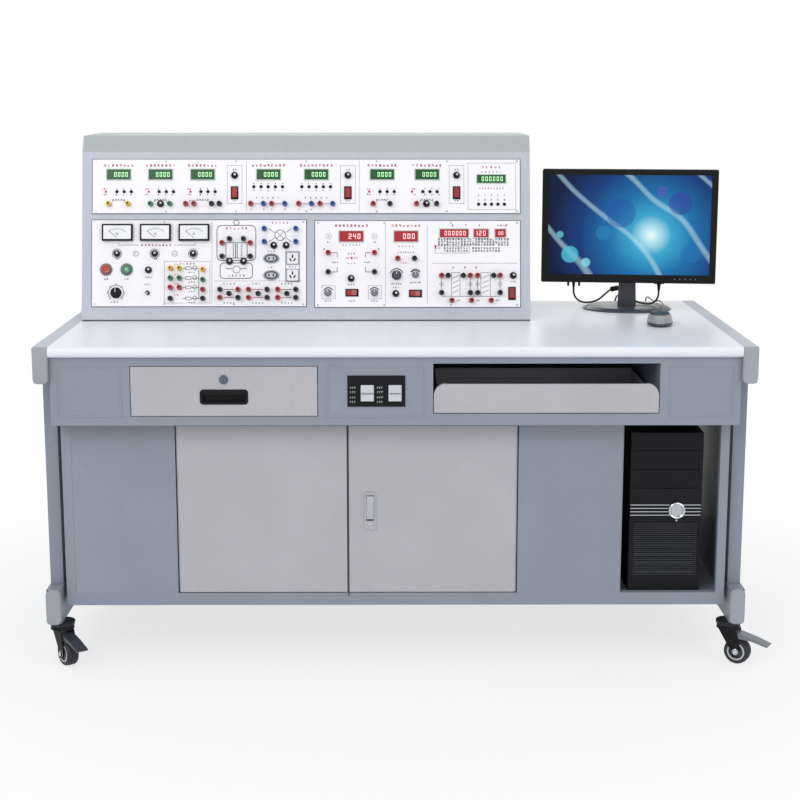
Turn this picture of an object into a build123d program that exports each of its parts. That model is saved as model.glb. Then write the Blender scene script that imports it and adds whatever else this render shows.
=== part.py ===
from build123d import *
import math
import os

# Bench frame, in millimetres
BENCH_WIDTH = 1600.0
BENCH_DEPTH = 800.0
WORKTOP_HEIGHT = 750.0
WORKTOP_THICKNESS = 24.0
WORKTOP_NOSE = 11.0
RAIL_WIDTH = 34.0
RAIL_HEIGHT = 82.0
TUBE_WALL = 2.0
CAP_THICKNESS = 10.0
CAP_RADIUS = 9.0
CAP_SPIGOT = 14.0
POST_WIDTH = 30.0
POST_DEPTH = 60.0
POST_INSET = 92.0
FOOT_CLEARANCE = 100.0
FOOT_INSET = 38.0

# Casters
CASTER_INSET_X = 29.0
CASTER_INSET_Y = 75.0
CASTER_PLATE_RADIUS = 30.0
CASTER_PLATE_THICKNESS = 3.0
CASTER_TRAIL = 24.0
CROWN_RADIUS = 28.0
CROWN_HEIGHT = 14.0
KINGPIN_RADIUS = 5.0
WHEEL_RADIUS = 30.0
WHEEL_WIDTH = 28.0
WHEEL_FACETS = 24
AXLE_RADIUS = 4.0
FORK_PLATE = 3.0
FORK_BOSS = 11.0
PEDAL_LENGTH = 100.0
PEDAL_PIVOT = (6.0, 70.0)
PEDAL_PIVOT_RADIUS = 2.5
FRONT_LEFT_TRAIL = -53.0
FRONT_RIGHT_TRAIL = -30.0

# Sheet metal of the apron and the cabinet
SHEET = 1.5
APRON_INSET = 15.0
APRON_HEIGHT = 154.0
CABINET_INSET = 70.0
CABINET_SIDE_GAP = 11.0
CABINET_BOTTOM = 138.0
CABINET_FLOOR = 162.0
FRAME_DEPTH = 18.0
BOTTOM_RAIL = 29.0
TOP_RAIL = 10.0
STILE_WIDTH = 22.0
PANEL_RECESS = 1.0
BEAD_WIDTH = 4.0
BEAD_HEIGHT = 1.2

# Drawer and its cup pull
DRAWER_CENTRE = -380.5
DRAWER_FRONT_WIDTH = 413.0
DRAWER_FRONT_HEIGHT = 111.0
DRAWER_FRONT_BOTTOM = 594.0
DRAWER_FRONT_DEPTH = 14.0
DRAWER_DEPTH = 400.0
DRAWER_BOX_HEIGHT = 80.0
PULL_WIDTH = 107.0
PULL_HEIGHT = 34.0
PULL_DEPTH = 12.0
PULL_CENTRE_HEIGHT = 637.0
LOCK_RADIUS = 9.5
LOCK_HEIGHT = 676.0

# Keyboard tray
TRAY_CENTRE = 334.5
TRAY_WIDTH = 500.0
TRAY_OPENING_HEIGHT = 113.0
TRAY_FRONT_HEIGHT = 66.0
TRAY_FRONT_BOTTOM = 600.0
TRAY_CORNER = 27.0
TRAY_DEPTH = 360.0
TRAY_SIDE_HEIGHT = 40.0

# Slides for the drawer and the tray
SLIDE_SIDE_GAP = 10.0
SLIDE_STRIP = 8.0
SLIDE_HEIGHT = 12.0
SLIDE_WALL = 1.7
SLIDE_CLEARANCE = 0.3
SLIDE_LENGTH = 400.0
FRONT_GAP = 1.5

# Mains switch plate on the apron
SWITCH_CENTRE = -43.0
SWITCH_CENTRE_HEIGHT = 650.0
SWITCH_PLATE_WIDTH = 128.0
SWITCH_PLATE_HEIGHT = 70.0
SWITCH_PLATE_THICKNESS = 2.5
SWITCH_FRAME_WIDTH = 218.0
EMBOSS_HEIGHT = 116.0
EMBOSS_CENTRE_HEIGHT = 649.0
SIDE_EMBOSS_WIDTH = 143.0
SIDE_EMBOSS_CENTRE = 678.5
MAINS_ROCKER_OFFSETS = (-20.0, 41.5)
MAINS_ROCKER_WIDTH = 29.0
MAINS_ROCKER_LENGTH = 36.0

# Cabinet doors and the flush handle
LEFT_DOOR = (-500.0, -111.0)
RIGHT_DOOR = (-109.5, 279.0)
DOOR_TOP_GAP = 2.0
DOOR_PIN_RADIUS = 4.0
DOOR_PIN_ENTRY = 8.0
HANDLE_WIDTH = 27.0
HANDLE_HEIGHT = 90.0
HANDLE_CENTRE = -58.5
HANDLE_CENTRE_HEIGHT = 361.0
LEVER_WIDTH = 17.0
LEVER_LENGTH = 56.0

# Computer bay and tower
BAY_LEFT = 517.0
BAY_RIGHT = 737.0
TOWER_CENTRE = 620.0
TOWER_WIDTH = 165.0
TOWER_HEIGHT = 377.0
TOWER_DEPTH = 400.0
TOWER_SETBACK = 19.0
TOWER_BEZEL = 26.0
POWER_BUTTON_RADIUS = 14.0
POWER_BUTTON_HEIGHT = 357.0
POWER_BUTTON_X = 645.0

# Leaning console and its three boards
CONSOLE_LEFT = -766.0
CONSOLE_RIGHT = 330.0
CONSOLE_SETBACK = 14.0
CONSOLE_BACK = 395.0
CONSOLE_LEAN = 12.5
CONSOLE_SLOPE = 414.5
HOOD_RISE = 39.5
HOOD_RUN = 25.0
BOARD_THICKNESS = 3.0
BOARD_LAP = 10.0
TOP_BOARD = (-740.0, 305.0, 264.0, 396.0)
LEFT_BOARD = (-741.0, -218.0, 36.0, 247.0)
RIGHT_BOARD = (-196.0, 305.0, 34.0, 245.0)

# Panel parts
TERMINAL_RADIUS = 6.6
TERMINAL_HEIGHT = 16.0
FUSE_RADIUS = 8.5
FUSE_HEIGHT = 11.0
METER_SIZE = (75.0, 41.0)
METER_PROUD = 9.0
BEZEL_LAP = 3.0
BEZEL_PROUD = 2.0
MODULE_DEPTH = 12.0
KEY_RADIUS = 3.6
KEY_PROUD = 4.0
ROCKER_WIDTH = 13.0
ROCKER_LENGTH = 25.2
ROCKER_SWING = 14.0
ROCKER_END = 6.5
ROCKER_WAIST = 4.9
ROCKER_ARC = 8.0
PIVOT_DEPTH = 4.5
HOUSING_WALL = 1.0
HOUSING_FLANGE = 1.5
START_RADIUS = 11.3
START_PROUD = 9.0
TOGGLE_BUSH = 5.5
TOGGLE_BALL = 3.2
SHAFT_RADIUS = 3.0
RUNNING_FIT = 0.05
SIDE_PLAY = 0.3

# Monitor
STAND_PLACE = (597.0, 240.0)
MONITOR_YAW = -7.0
MONITOR_WIDTH = 440.0
MONITOR_HEIGHT = 287.0
MONITOR_BOTTOM = 821.0
MONITOR_FRONT = -40.0
MONITOR_DEPTH = 24.0
SCREEN_SIZE = (408.0, 252.0)
SCREEN_RISE = 21.0
REAR_CASE = (330.0, 192.0, 16.0)
REAR_CASE_BOTTOM = 858.0
BASE_SIZE = (226.0, 187.0)
BASE_THICKNESS = 9.0
NECK_WIDTHS = (48.0, 36.0)
NECK_FRONT = 2.6
NECK_DEPTH = 16.0
TILT_HEIGHT = 905.0
TILT_RADIUS = 8.0
TILT_PIN = 4.0

# Mouse
MOUSE_PLACE = (636.0, -50.0)
MOUSE_TURN = -8.0
MOUSE_SIZE = (62.0, 112.0, 36.0)
# Each step of the crown above the belt: share of the height and taper
MOUSE_CROWN = ((0.34, 12), (0.25, 42), (0.11, 66))

# Cord routes, from the plug or the mouse to the computer or the outlet
LEAD_CHORD = 30.0
LEAD_DIAMETER = 5.0
MOUSE_LEAD_DIAMETER = 3.5
VIDEO_ROUTE = [
    (460.2, 249.8, 802.0), (460.2, 249.8, 790.2), (464.6, 250.9, 778.9), (472.7, 253.0, 770.4),
    (483.3, 255.8, 765.2), (497.0, 259.0, 763.2), (513.0, 262.5, 765.0), (529.5, 267.0, 771.0),
    (545.0, 273.5, 784.0), (560.0, 281.0, 795.0), (576.0, 291.0, 798.0), (590.0, 305.0, 791.0),
    (597.0, 324.0, 780.0), (597.0, 345.0, 770.0), (594.0, 367.0, 768.0), (591.0, 390.0, 765.0),
    (589.0, 410.0, 745.0), (588.0, 417.0, 716.0), (586.5, 419.5, 660.0), (585.0, 421.0, 600.0),
    (582.5, 421.0, 535.0), (579.0, 418.0, 470.0), (576.0, 408.0, 412.0), (574.0, 384.0, 367.0),
    (573.0, 345.0, 341.0), (572.0, 298.0, 342.0), (571.0, 261.0, 368.0), (570.5, 235.0, 408.0),
    (570.0, 203.0, 440.0), (570.0, 165.0, 452.0), (570.0, 128.0, 452.0),
]
POWER_ROUTE = [
    (675.9, 223.3, 797.6), (675.9, 223.3, 786.0), (672.0, 225.5, 775.3), (664.9, 229.6, 767.1),
    (655.6, 235.0, 762.7), (643.5, 242.0, 762.6), (628.0, 253.5, 765.0), (617.0, 270.0, 769.0),
    (612.0, 290.0, 771.0), (613.0, 311.0, 768.0), (615.0, 333.0, 764.0), (616.0, 356.0, 764.0),
    (616.0, 380.0, 768.0), (615.5, 404.0, 756.0), (616.0, 415.0, 729.0), (617.0, 419.0, 685.0),
    (619.0, 421.0, 625.0), (621.0, 420.0, 560.0), (620.0, 418.0, 495.0), (619.0, 420.0, 430.0),
    (621.0, 416.0, 370.0), (625.0, 398.0, 315.0), (629.0, 364.0, 272.0), (637.0, 327.0, 243.0),
    (655.0, 300.0, 230.0), (680.0, 290.0, 230.0), (702.0, 290.0, 230.0),
]
MOUSE_ROUTE = [
    (645.0, 8.0, 762.0), (646.0, 30.0, 762.0), (650.0, 58.0, 754.5), (657.0, 88.0, 753.5),
    (664.0, 118.0, 756.0), (672.0, 146.0, 763.0), (680.0, 176.0, 766.0), (685.0, 210.0, 767.0),
    (687.0, 246.0, 767.0), (686.0, 282.0, 766.0), (683.0, 318.0, 758.0), (679.0, 352.0, 757.0),
    (675.0, 382.0, 763.0), (672.0, 404.0, 758.0), (670.0, 413.0, 735.0), (669.0, 417.0, 700.0),
    (667.0, 415.0, 660.0), (666.0, 417.0, 610.0), (664.0, 415.0, 560.0), (663.0, 411.0, 512.0),
    (660.0, 397.0, 472.0), (656.0, 370.0, 448.0), (651.0, 335.0, 440.0), (646.0, 295.0, 448.0),
    (643.0, 255.0, 463.0), (641.0, 215.0, 476.0), (640.0, 175.0, 480.0), (640.0, 137.0, 480.0),
]

# Places that follow from the sizes above
SIDE = BENCH_WIDTH / 2
FRONT = -BENCH_DEPTH / 2
RAIL_INNER = SIDE - RAIL_WIDTH
RAIL_CENTRE = SIDE - RAIL_WIDTH / 2
WORKTOP_UNDER = WORKTOP_HEIGHT - WORKTOP_THICKNESS
APRON_FRONT = FRONT + APRON_INSET
APRON_BOTTOM = WORKTOP_UNDER - APRON_HEIGHT
CABINET_FRONT = FRONT + CABINET_INSET
CABINET_SIDE = SIDE - RAIL_WIDTH / 2 - POST_WIDTH / 2 - CABINET_SIDE_GAP
SLOPE_SIN = math.sin(math.radians(CONSOLE_LEAN))
SLOPE_COS = math.cos(math.radians(CONSOLE_LEAN))
FACE = Location(
    Plane(
        origin=(0, CONSOLE_SETBACK, WORKTOP_HEIGHT),
        x_dir=(1, 0, 0),
        z_dir=(0, -SLOPE_COS, SLOPE_SIN),
    )
)
STAND = Pos(*STAND_PLACE, 0) * Rot(0, 0, MONITOR_YAW)


def spots(up, *across):
    """Places on the leaning face that share one height up the slope."""
    return [(x, up) for x in across]


# Places on the leaning face: across, then up the slope from the worktop
METERS = spots(216.5, -678.5, -585.5, -491.5)
DISPLAYS = (
    [(x, 359.0, 56.0, 23.0) for x in (-676, -574, -471, -310, -193, -32, 78)]
    + [(235.0, 348.0, 68.0, 18.0)]
    + [(-107.5, 207.0, 57.0, 24.0), (26.0, 207.0, 56.0, 24.0)]
    + [(144.0, 214.5, 68.0, 18.0), (210.0, 214.5, 34.0, 18.0), (257.0, 214.5, 24.0, 18.0)]
)
TERMINALS = (
    spots(287, -700, -653, -598, -551, -512, -492, -449, -430)
    + spots(287, -353, -322, -302, -270, -236, -205, -184, -153)
    + spots(287, -54, -13, 52, 101)
    + spots(129, -549, -527) + spots(105, -549, -527) + spots(82, -549, -527) + spots(55, -549)
    + spots(126, -470) + spots(101, -470) + spots(77, -470) + spots(55, -470)
    + spots(191, -423, -354) + spots(158, -423, -354) + spots(201, -405, -371)
    + spots(77, -428, -384, -358, -313, -287, -243)
    + spots(57, -428, -384, -358, -313, -287, -243)
    + spots(67, -406, -335, -265)
    + spots(226, -320, -243) + spots(194, -320, -243)
    + spots(167, -164, -51) + spots(120, -164, -51) + spots(153, 6, 47)
    + spots(111, 113, 129, 166, 183, 201, 240, 256)
    + spots(69, 113, 183, 201, 256) + spots(50, 138, 186, 234)
)
FUSES = (
    spots(357, -393, -116, 150) + spots(287, -574, 76)
    + spots(165, -680, -588, -494) + spots(125, -603)
    + spots(146, -405, -371) + spots(185, -297, -267)
    + spots(104, -108) + spots(67, 1) + spots(111, 288)
)
# Key groups: centre across, up the slope, number of keys and their pitch
KEY_GROUPS = (
    [(x, 317.0, 3, 17.5) for x in (-663, -560, -458, -20, 85)]
    + [(x, 329.0, 5, 17.5) for x in (-311, -193.5)]
    + [(235.5, 286.0, 5, 15.8)]
)
MODULE_ROCKERS = spots(314, -393, -116, 150)
SUPPLY_ROCKER = (-106.0, 69.0)
GENERATOR_ROCKER = (49.0, 67.0)
COUNTER_ROCKER = (285.0, 67.0)
STOP_BUTTON = (-706.0, 126.0)
START_BUTTON = (-656.0, 126.0)
TOGGLE = (-605.0, 69.0)
OVAL_SOCKETS = [(-303.0, 153.0), (-303.0, 112.0)]
SLOT_SOCKETS = [(-251.0, 153.0), (-251.0, 112.0)]
KNOBS = {
    "selector_knob": (-682.0, 69.0, 13.5, 15.0),
    "voltage_knob": (-165.0, 69.0, 9.0, 13.0),
    "current_knob": (-51.0, 69.0, 9.0, 13.0),
    "range_knob": (3.0, 112.0, 12.0, 15.0),
    "fine_knob": (49.0, 113.0, 8.5, 13.0),
}


def block(low, high):
    """Box between its lowest and its highest corner."""
    size = [b - a for a, b in zip(low, high)]
    middle = [(a + b) / 2 for a, b in zip(low, high)]
    return Pos(*middle) * Box(*size)


def rod_x(centre, radius, length):
    """Cylinder along X about a centre."""
    return Pos(*centre) * Rot(0, 90, 0) * Cylinder(radius, length)


def rod_y(centre, radius, length):
    """Cylinder along Y about a centre."""
    return Pos(*centre) * Rot(90, 0, 0) * Cylinder(radius, length)


def rod_z(centre, radius, length):
    """Cylinder along Z about a centre."""
    return Pos(*centre) * Cylinder(radius, length)


def tube(low, high, wall, axis):
    """Square tube that is open at both ends along one axis, 0 for X to 2 for Z."""
    inner_low = [v if i == axis else v + wall for i, v in enumerate(low)]
    inner_high = [v if i == axis else v - wall for i, v in enumerate(high)]
    return block(low, high) - block(inner_low, inner_high)


def prism(sides, radius, height, taper=0):
    """Many-sided prism that stands on the origin, for small round parts."""
    return extrude(RegularPolygon(radius, sides), height, taper=taper)


def bore(sides, radius, length):
    """Many-sided hole about the origin whose flats clear a pin of this radius."""
    return extrude(RegularPolygon(radius, sides, major_radius=False), length / 2, both=True)


def oval(half_x, half_y, sides):
    """Many-sided oval face about the origin."""
    angles = [2 * math.pi * i / sides for i in range(sides)]
    return make_face(Polyline(*[(half_x * math.cos(a), half_y * math.sin(a)) for a in angles], close=True))


def prism_y(points, y_front, depth):
    """Outline in X and Z, pushed back along Y from its front."""
    face = make_face(Polyline(*[(x, y_front, z) for x, z in points], close=True))
    return extrude(face, depth, dir=(0, 1, 0))


def prism_x(points, x_left, width):
    """Outline in Y and Z, pushed along X."""
    face = make_face(Polyline(*[(x_left, y, z) for y, z in points], close=True))
    return extrude(face, width, dir=(1, 0, 0))


def save(node, *pieces):
    """Writes the solids of one sub-part to its own STEP file."""
    solids = [solid for piece in pieces for solid in piece.solids()]
    export_step(Compound(solids), os.path.join("parts", node + ".step"))


# Bench frame
def worktop():
    top = block((-RAIL_INNER, FRONT, WORKTOP_UNDER), (RAIL_INNER, -FRONT, WORKTOP_HEIGHT))
    nose = min(WORKTOP_NOSE, WORKTOP_THICKNESS / 2 - 1)
    return fillet(top.edges().filter_by(Axis.X), nose)


def side_frames():
    """Top rail, two posts and foot rail on each side, as rectangular tubes."""
    pieces = []
    for side in (-1, 1):
        x_low, x_high = sorted((side * RAIL_INNER, side * SIDE))
        post_low, post_high = side * RAIL_CENTRE - POST_WIDTH / 2, side * RAIL_CENTRE + POST_WIDTH / 2
        top_bottom = WORKTOP_HEIGHT - RAIL_HEIGHT
        foot_top = FOOT_CLEARANCE + RAIL_HEIGHT
        top_end = -FRONT - CAP_THICKNESS
        foot_end = -FRONT - FOOT_INSET - CAP_THICKNESS
        pieces.append(tube((x_low, -top_end, top_bottom), (x_high, top_end, WORKTOP_HEIGHT), TUBE_WALL, 1))
        pieces.append(tube((x_low, -foot_end, FOOT_CLEARANCE), (x_high, foot_end, foot_top), TUBE_WALL, 1))
        for y in (FRONT + POST_INSET, -FRONT - POST_INSET - POST_DEPTH):
            post_end = (post_high, y + POST_DEPTH, top_bottom)
            pieces.append(tube((post_low, y, foot_top), post_end, TUBE_WALL, 2))
    return pieces


def end_cap(side, end, bottom, inset):
    """Plastic cap with a spigot in one rail; an upper rail's cap has only its bottom corners cut."""
    tip = end * (-FRONT - inset)
    seat = tip - end * CAP_THICKNESS
    x_low, x_high = sorted((side * RAIL_INNER, side * SIDE))
    y_low, y_high = sorted((tip, seat))
    plate = block((x_low, y_low, bottom), (x_high, y_high, bottom + RAIL_HEIGHT))
    corners = plate.edges().filter_by(Axis.Y).sort_by(Axis.Z)
    plate = chamfer(corners if inset else corners[:2], CAP_RADIUS)
    gap = TUBE_WALL + SIDE_PLAY
    s_low, s_high = sorted((seat, seat - end * CAP_SPIGOT))
    return plate + block(
        (x_low + gap, s_low, bottom + gap),
        (x_high - gap, s_high, bottom + RAIL_HEIGHT - gap),
    )


def end_caps():
    pieces = []
    for side in (-1, 1):
        for end in (-1, 1):
            pieces.append(end_cap(side, end, WORKTOP_HEIGHT - RAIL_HEIGHT, 0))
            pieces.append(end_cap(side, end, FOOT_CLEARANCE, FOOT_INSET))
    return pieces


# Casters, drawn with the trail along X and the axle along Y, then turned and placed
CASTERS = {
    "front_left": (-1, -1, FRONT_LEFT_TRAIL),
    "front_right": (1, -1, FRONT_RIGHT_TRAIL),
    "rear_left": (-1, 1, FRONT_RIGHT_TRAIL + 180),
    "rear_right": (1, 1, FRONT_LEFT_TRAIL + 180),
}
CROWN_TOP = FOOT_CLEARANCE - CASTER_PLATE_THICKNESS - SIDE_PLAY
CROWN_BOTTOM = CROWN_TOP - CROWN_HEIGHT
FORK_INNER = WHEEL_WIDTH / 2 + 0.5
AXLE_HEIGHT = WHEEL_RADIUS


def caster_place(name):
    side, end, turn = CASTERS[name]
    x = side * (SIDE - CASTER_INSET_X)
    y = end * (-FRONT - CASTER_INSET_Y)
    return Pos(x, y, 0) * Rot(0, 0, turn)


def caster_plate():
    """Fixed top plate with the kingpin that the fork turns on."""
    under = FOOT_CLEARANCE - CASTER_PLATE_THICKNESS
    plate = Pos(0, 0, under) * prism(12, CASTER_PLATE_RADIUS, CASTER_PLATE_THICKNESS)
    pin_length = under - CROWN_BOTTOM - 1
    return plate + Pos(0, 0, under - pin_length) * prism(12, KINGPIN_RADIUS, pin_length)


def cross_pin(along, height, radius, sides):
    """Many-sided pin across the fork, from leg to leg."""
    place = Pos(along, FORK_INNER, height) * Rot(90, 0, 0)
    return place * prism(sides, radius, 2 * FORK_INNER)


def caster_fork():
    """Crown bored for the kingpin, two tapering legs, the bolted axle and the pedal's pin."""
    crown = Pos(0, 0, CROWN_BOTTOM) * prism(14, CROWN_RADIUS, CROWN_HEIGHT, taper=10)
    crown -= Pos(0, 0, CROWN_TOP) * bore(12, KINGPIN_RADIUS + RUNNING_FIT, 4 * CROWN_HEIGHT)
    outline = [
        (-CROWN_RADIUS + 9, CROWN_BOTTOM), (CROWN_RADIUS - 4, CROWN_BOTTOM),
        (CASTER_TRAIL + FORK_BOSS, AXLE_HEIGHT + 6), (CASTER_TRAIL + 6, AXLE_HEIGHT - FORK_BOSS),
        (CASTER_TRAIL - 6, AXLE_HEIGHT - FORK_BOSS), (CASTER_TRAIL - FORK_BOSS, AXLE_HEIGHT + 2),
    ]
    fork = crown + cross_pin(CASTER_TRAIL, AXLE_HEIGHT, AXLE_RADIUS, 12)
    fork += cross_pin(*PEDAL_PIVOT, PEDAL_PIVOT_RADIUS, 8)
    head = FORK_INNER + FORK_PLATE
    for side, turn in ((-1, 90), (1, -90)):
        fork += prism_y(outline, min(side * FORK_INNER, side * head), FORK_PLATE)
        fork += Pos(CASTER_TRAIL, side * head, AXLE_HEIGHT) * Rot(turn, 0, 0) * prism(6, AXLE_RADIUS + 3, 3)
    return fork


def caster_wheel():
    """Tyre with flat facets of its rolling radius, proud hub faces and a bore for the axle."""
    tread = RegularPolygon(WHEEL_RADIUS, WHEEL_FACETS, major_radius=False, rotation=180 / WHEEL_FACETS)
    place = Pos(CASTER_TRAIL, 0, AXLE_HEIGHT) * Rot(90, 0, 0)
    wheel = extrude(tread, WHEEL_WIDTH / 2 - 1, both=True)
    wheel += extrude(RegularPolygon(WHEEL_RADIUS / 2, 8), WHEEL_WIDTH / 2, both=True)
    return place * (wheel - bore(12, AXLE_RADIUS + RUNNING_FIT, 2 * WHEEL_WIDTH))


def caster_brake():
    """Foot pedal with its shoe just above the tyre, bored for the fork's cross pin."""
    shoe = WHEEL_RADIUS * 2 + 0.6
    outline = [
        (0, 74), (28, 75), (60, 68), (PEDAL_LENGTH, 55), (PEDAL_LENGTH - 3, 51), (60, 60),
        (34, shoe + 0.4), (16, shoe + 1), (0, 66),
    ]
    width = 2 * (FORK_INNER - SIDE_PLAY)
    pedal = prism_y(outline, -width / 2, width)
    along, height = PEDAL_PIVOT
    place = Pos(along, 0, height) * Rot(90, 0, 0)
    return pedal - place * bore(10, PEDAL_PIVOT_RADIUS + RUNNING_FIT, 2 * width)


# Apron with the drawer and the keyboard tray
def emboss(centre, centre_height, width, height, y_front):
    """Raised rectangular bead on a front panel."""
    low = (centre - width / 2, y_front - BEAD_HEIGHT, centre_height - height / 2)
    high = (centre + width / 2, y_front, centre_height + height / 2)
    inner_low = (low[0] + BEAD_WIDTH, low[1], low[2] + BEAD_WIDTH)
    inner_high = (high[0] - BEAD_WIDTH, high[1], high[2] - BEAD_WIDTH)
    return block(low, high) - block(inner_low, inner_high)


def bay_sides(centre, width):
    """Inner faces of the two walls that carry a pair of slides."""
    half = width / 2 + FRONT_GAP
    return centre - half, centre + half


def apron_case():
    """Sheet-metal case under the worktop with the drawer bay, the switch cut-out and the tray bay."""
    outer = block((-RAIL_INNER, APRON_FRONT, APRON_BOTTOM), (RAIL_INNER, -APRON_FRONT, WORKTOP_UNDER))
    inner = block(
        (-RAIL_INNER + SHEET, APRON_FRONT + SHEET, APRON_BOTTOM + SHEET),
        (RAIL_INNER - SHEET, -APRON_FRONT - SHEET, WORKTOP_UNDER),
    )
    case = outer - inner
    for centre, width in ((DRAWER_CENTRE, DRAWER_FRONT_WIDTH), (TRAY_CENTRE, TRAY_WIDTH)):
        left, right = bay_sides(centre, width)
        for wall in (left - SHEET, right):
            case += block(
                (wall, APRON_FRONT, APRON_BOTTOM),
                (wall + SHEET, APRON_FRONT + DRAWER_FRONT_DEPTH + SLIDE_LENGTH + 20, WORKTOP_UNDER),
            )
    front, behind = APRON_FRONT - 1, APRON_FRONT + SHEET
    left, right = bay_sides(DRAWER_CENTRE, DRAWER_FRONT_WIDTH)
    drawer_top = DRAWER_FRONT_BOTTOM + DRAWER_FRONT_HEIGHT + FRONT_GAP
    case -= block((left, front, DRAWER_FRONT_BOTTOM - FRONT_GAP), (right, behind, drawer_top))
    left, right = bay_sides(TRAY_CENTRE, TRAY_WIDTH)
    tray_bottom = TRAY_FRONT_BOTTOM - FRONT_GAP
    case -= block((left, front, tray_bottom), (right, behind, tray_bottom + TRAY_OPENING_HEIGHT))
    cut_x, cut_z = SWITCH_PLATE_WIDTH / 2 - 6, SWITCH_PLATE_HEIGHT / 2 - 6
    case -= block(
        (SWITCH_CENTRE - cut_x, front, SWITCH_CENTRE_HEIGHT - cut_z),
        (SWITCH_CENTRE + cut_x, behind, SWITCH_CENTRE_HEIGHT + cut_z),
    )
    for centre, width in (
        (-SIDE_EMBOSS_CENTRE, SIDE_EMBOSS_WIDTH),
        (SWITCH_CENTRE, SWITCH_FRAME_WIDTH),
        (SIDE_EMBOSS_CENTRE, SIDE_EMBOSS_WIDTH),
    ):
        case += emboss(centre, EMBOSS_CENTRE_HEIGHT, width, EMBOSS_HEIGHT, APRON_FRONT)
    return case


def strip_height(bottom, height):
    """Middle height of the slides for a front of this height."""
    return bottom + height / 2


DRAWER_STRIP = strip_height(DRAWER_FRONT_BOTTOM, DRAWER_FRONT_HEIGHT)
TRAY_STRIP = strip_height(TRAY_FRONT_BOTTOM, TRAY_SIDE_HEIGHT)


def slide_runners():
    """Channels on the bay walls that hold the strips of the drawer and the tray."""
    pieces = []
    start = APRON_FRONT + DRAWER_FRONT_DEPTH + 4
    reach = SLIDE_STRIP + SLIDE_CLEARANCE + SLIDE_WALL - 1
    half = SLIDE_HEIGHT / 2 + SLIDE_CLEARANCE
    for centre, width, middle in (
        (DRAWER_CENTRE, DRAWER_FRONT_WIDTH, DRAWER_STRIP),
        (TRAY_CENTRE, TRAY_WIDTH, TRAY_STRIP),
    ):
        for side, wall in zip((-1, 1), bay_sides(centre, width)):
            x_low, x_high = sorted((wall, wall - side * reach))
            channel = block(
                (x_low, start, middle - half - SLIDE_WALL),
                (x_high, start + SLIDE_LENGTH, middle + half + SLIDE_WALL),
            )
            slot_low, slot_high = sorted((wall - side * SLIDE_WALL, wall - side * (reach + 1)))
            channel -= block(
                (slot_low, start, middle - half), (slot_high, start + SLIDE_LENGTH, middle + half)
            )
            pieces.append(channel)
    return pieces


def slide_strip(side, centre, width, middle, y_start, y_end):
    """Strip on the side of a drawer or tray that runs in its channel."""
    wall = centre + side * (width / 2 + FRONT_GAP)
    outer = wall - side * (SLIDE_WALL + SLIDE_CLEARANCE)
    x_low, x_high = sorted((outer, centre + side * (width / 2 - SLIDE_SIDE_GAP - 0.5)))
    return block((x_low, y_start, middle - SLIDE_HEIGHT / 2), (x_high, y_end, middle + SLIDE_HEIGHT / 2))


def drawer():
    """Folded front pan with the open box behind it, on two slide strips."""
    left, right = DRAWER_CENTRE - DRAWER_FRONT_WIDTH / 2, DRAWER_CENTRE + DRAWER_FRONT_WIDTH / 2
    top = DRAWER_FRONT_BOTTOM + DRAWER_FRONT_HEIGHT
    face_front = APRON_FRONT - PANEL_RECESS
    face_back = face_front + DRAWER_FRONT_DEPTH
    pan = block((left, face_front, DRAWER_FRONT_BOTTOM), (right, face_back, top))
    pan -= block(
        (left + SHEET, face_front + SHEET, DRAWER_FRONT_BOTTOM + SHEET),
        (right - SHEET, face_back, top - SHEET),
    )
    box_left, box_right = left + SLIDE_SIDE_GAP, right - SLIDE_SIDE_GAP
    box_bottom = DRAWER_FRONT_BOTTOM + 8
    box_top = box_bottom + DRAWER_BOX_HEIGHT
    box_back = face_back + DRAWER_DEPTH - DRAWER_FRONT_DEPTH
    box = block((box_left, face_front + SHEET, box_bottom), (box_right, box_back, box_top))
    box -= block(
        (box_left + SHEET, face_front + SHEET, box_bottom + SHEET),
        (box_right - SHEET, box_back - SHEET, box_top),
    )
    whole = pan + box
    for side in (-1, 1):
        whole += slide_strip(
            side, DRAWER_CENTRE, DRAWER_FRONT_WIDTH, DRAWER_STRIP, face_back + 6, box_back
        )
    half_x, half_z = PULL_WIDTH / 2 - 4, PULL_HEIGHT / 2 - 4
    whole -= block(
        (DRAWER_CENTRE - half_x, face_front, PULL_CENTRE_HEIGHT - half_z),
        (DRAWER_CENTRE + half_x, face_front + SHEET, PULL_CENTRE_HEIGHT + half_z),
    )
    lock = Pos(DRAWER_CENTRE, face_front, LOCK_HEIGHT) * Rot(90, 0, 0)
    whole -= lock * bore(12, LOCK_RADIUS - 2 + SIDE_PLAY, 4 * SHEET)
    return whole


def drawer_pull():
    """Recessed cup with a lipped rim that fills the cut-out in the drawer front."""
    face_front = APRON_FRONT - PANEL_RECESS
    half_x, half_z = PULL_WIDTH / 2, PULL_HEIGHT / 2
    middle = (DRAWER_CENTRE, PULL_CENTRE_HEIGHT)
    rim = block(
        (middle[0] - half_x, face_front - 1.5, middle[1] - half_z),
        (middle[0] + half_x, face_front, middle[1] + half_z),
    )
    rim = chamfer(rim.edges().filter_by(Axis.Y), 5)
    cup = block(
        (middle[0] - half_x + 4 + SIDE_PLAY, face_front, middle[1] - half_z + 4 + SIDE_PLAY),
        (middle[0] + half_x - 4 - SIDE_PLAY, face_front + PULL_DEPTH, middle[1] + half_z - 4 - SIDE_PLAY),
    )
    hollow = block(
        (middle[0] - half_x + 6, face_front - 2, middle[1] - half_z + 6),
        (middle[0] + half_x - 6, face_front + PULL_DEPTH - 1.5, middle[1] + half_z - 6),
    )
    lip = block(
        (middle[0] - half_x + 6, face_front - 1.5, middle[1] + half_z - 12),
        (middle[0] + half_x - 6, face_front, middle[1] + half_z - 6),
    )
    return rim + cup - hollow + lip


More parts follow.
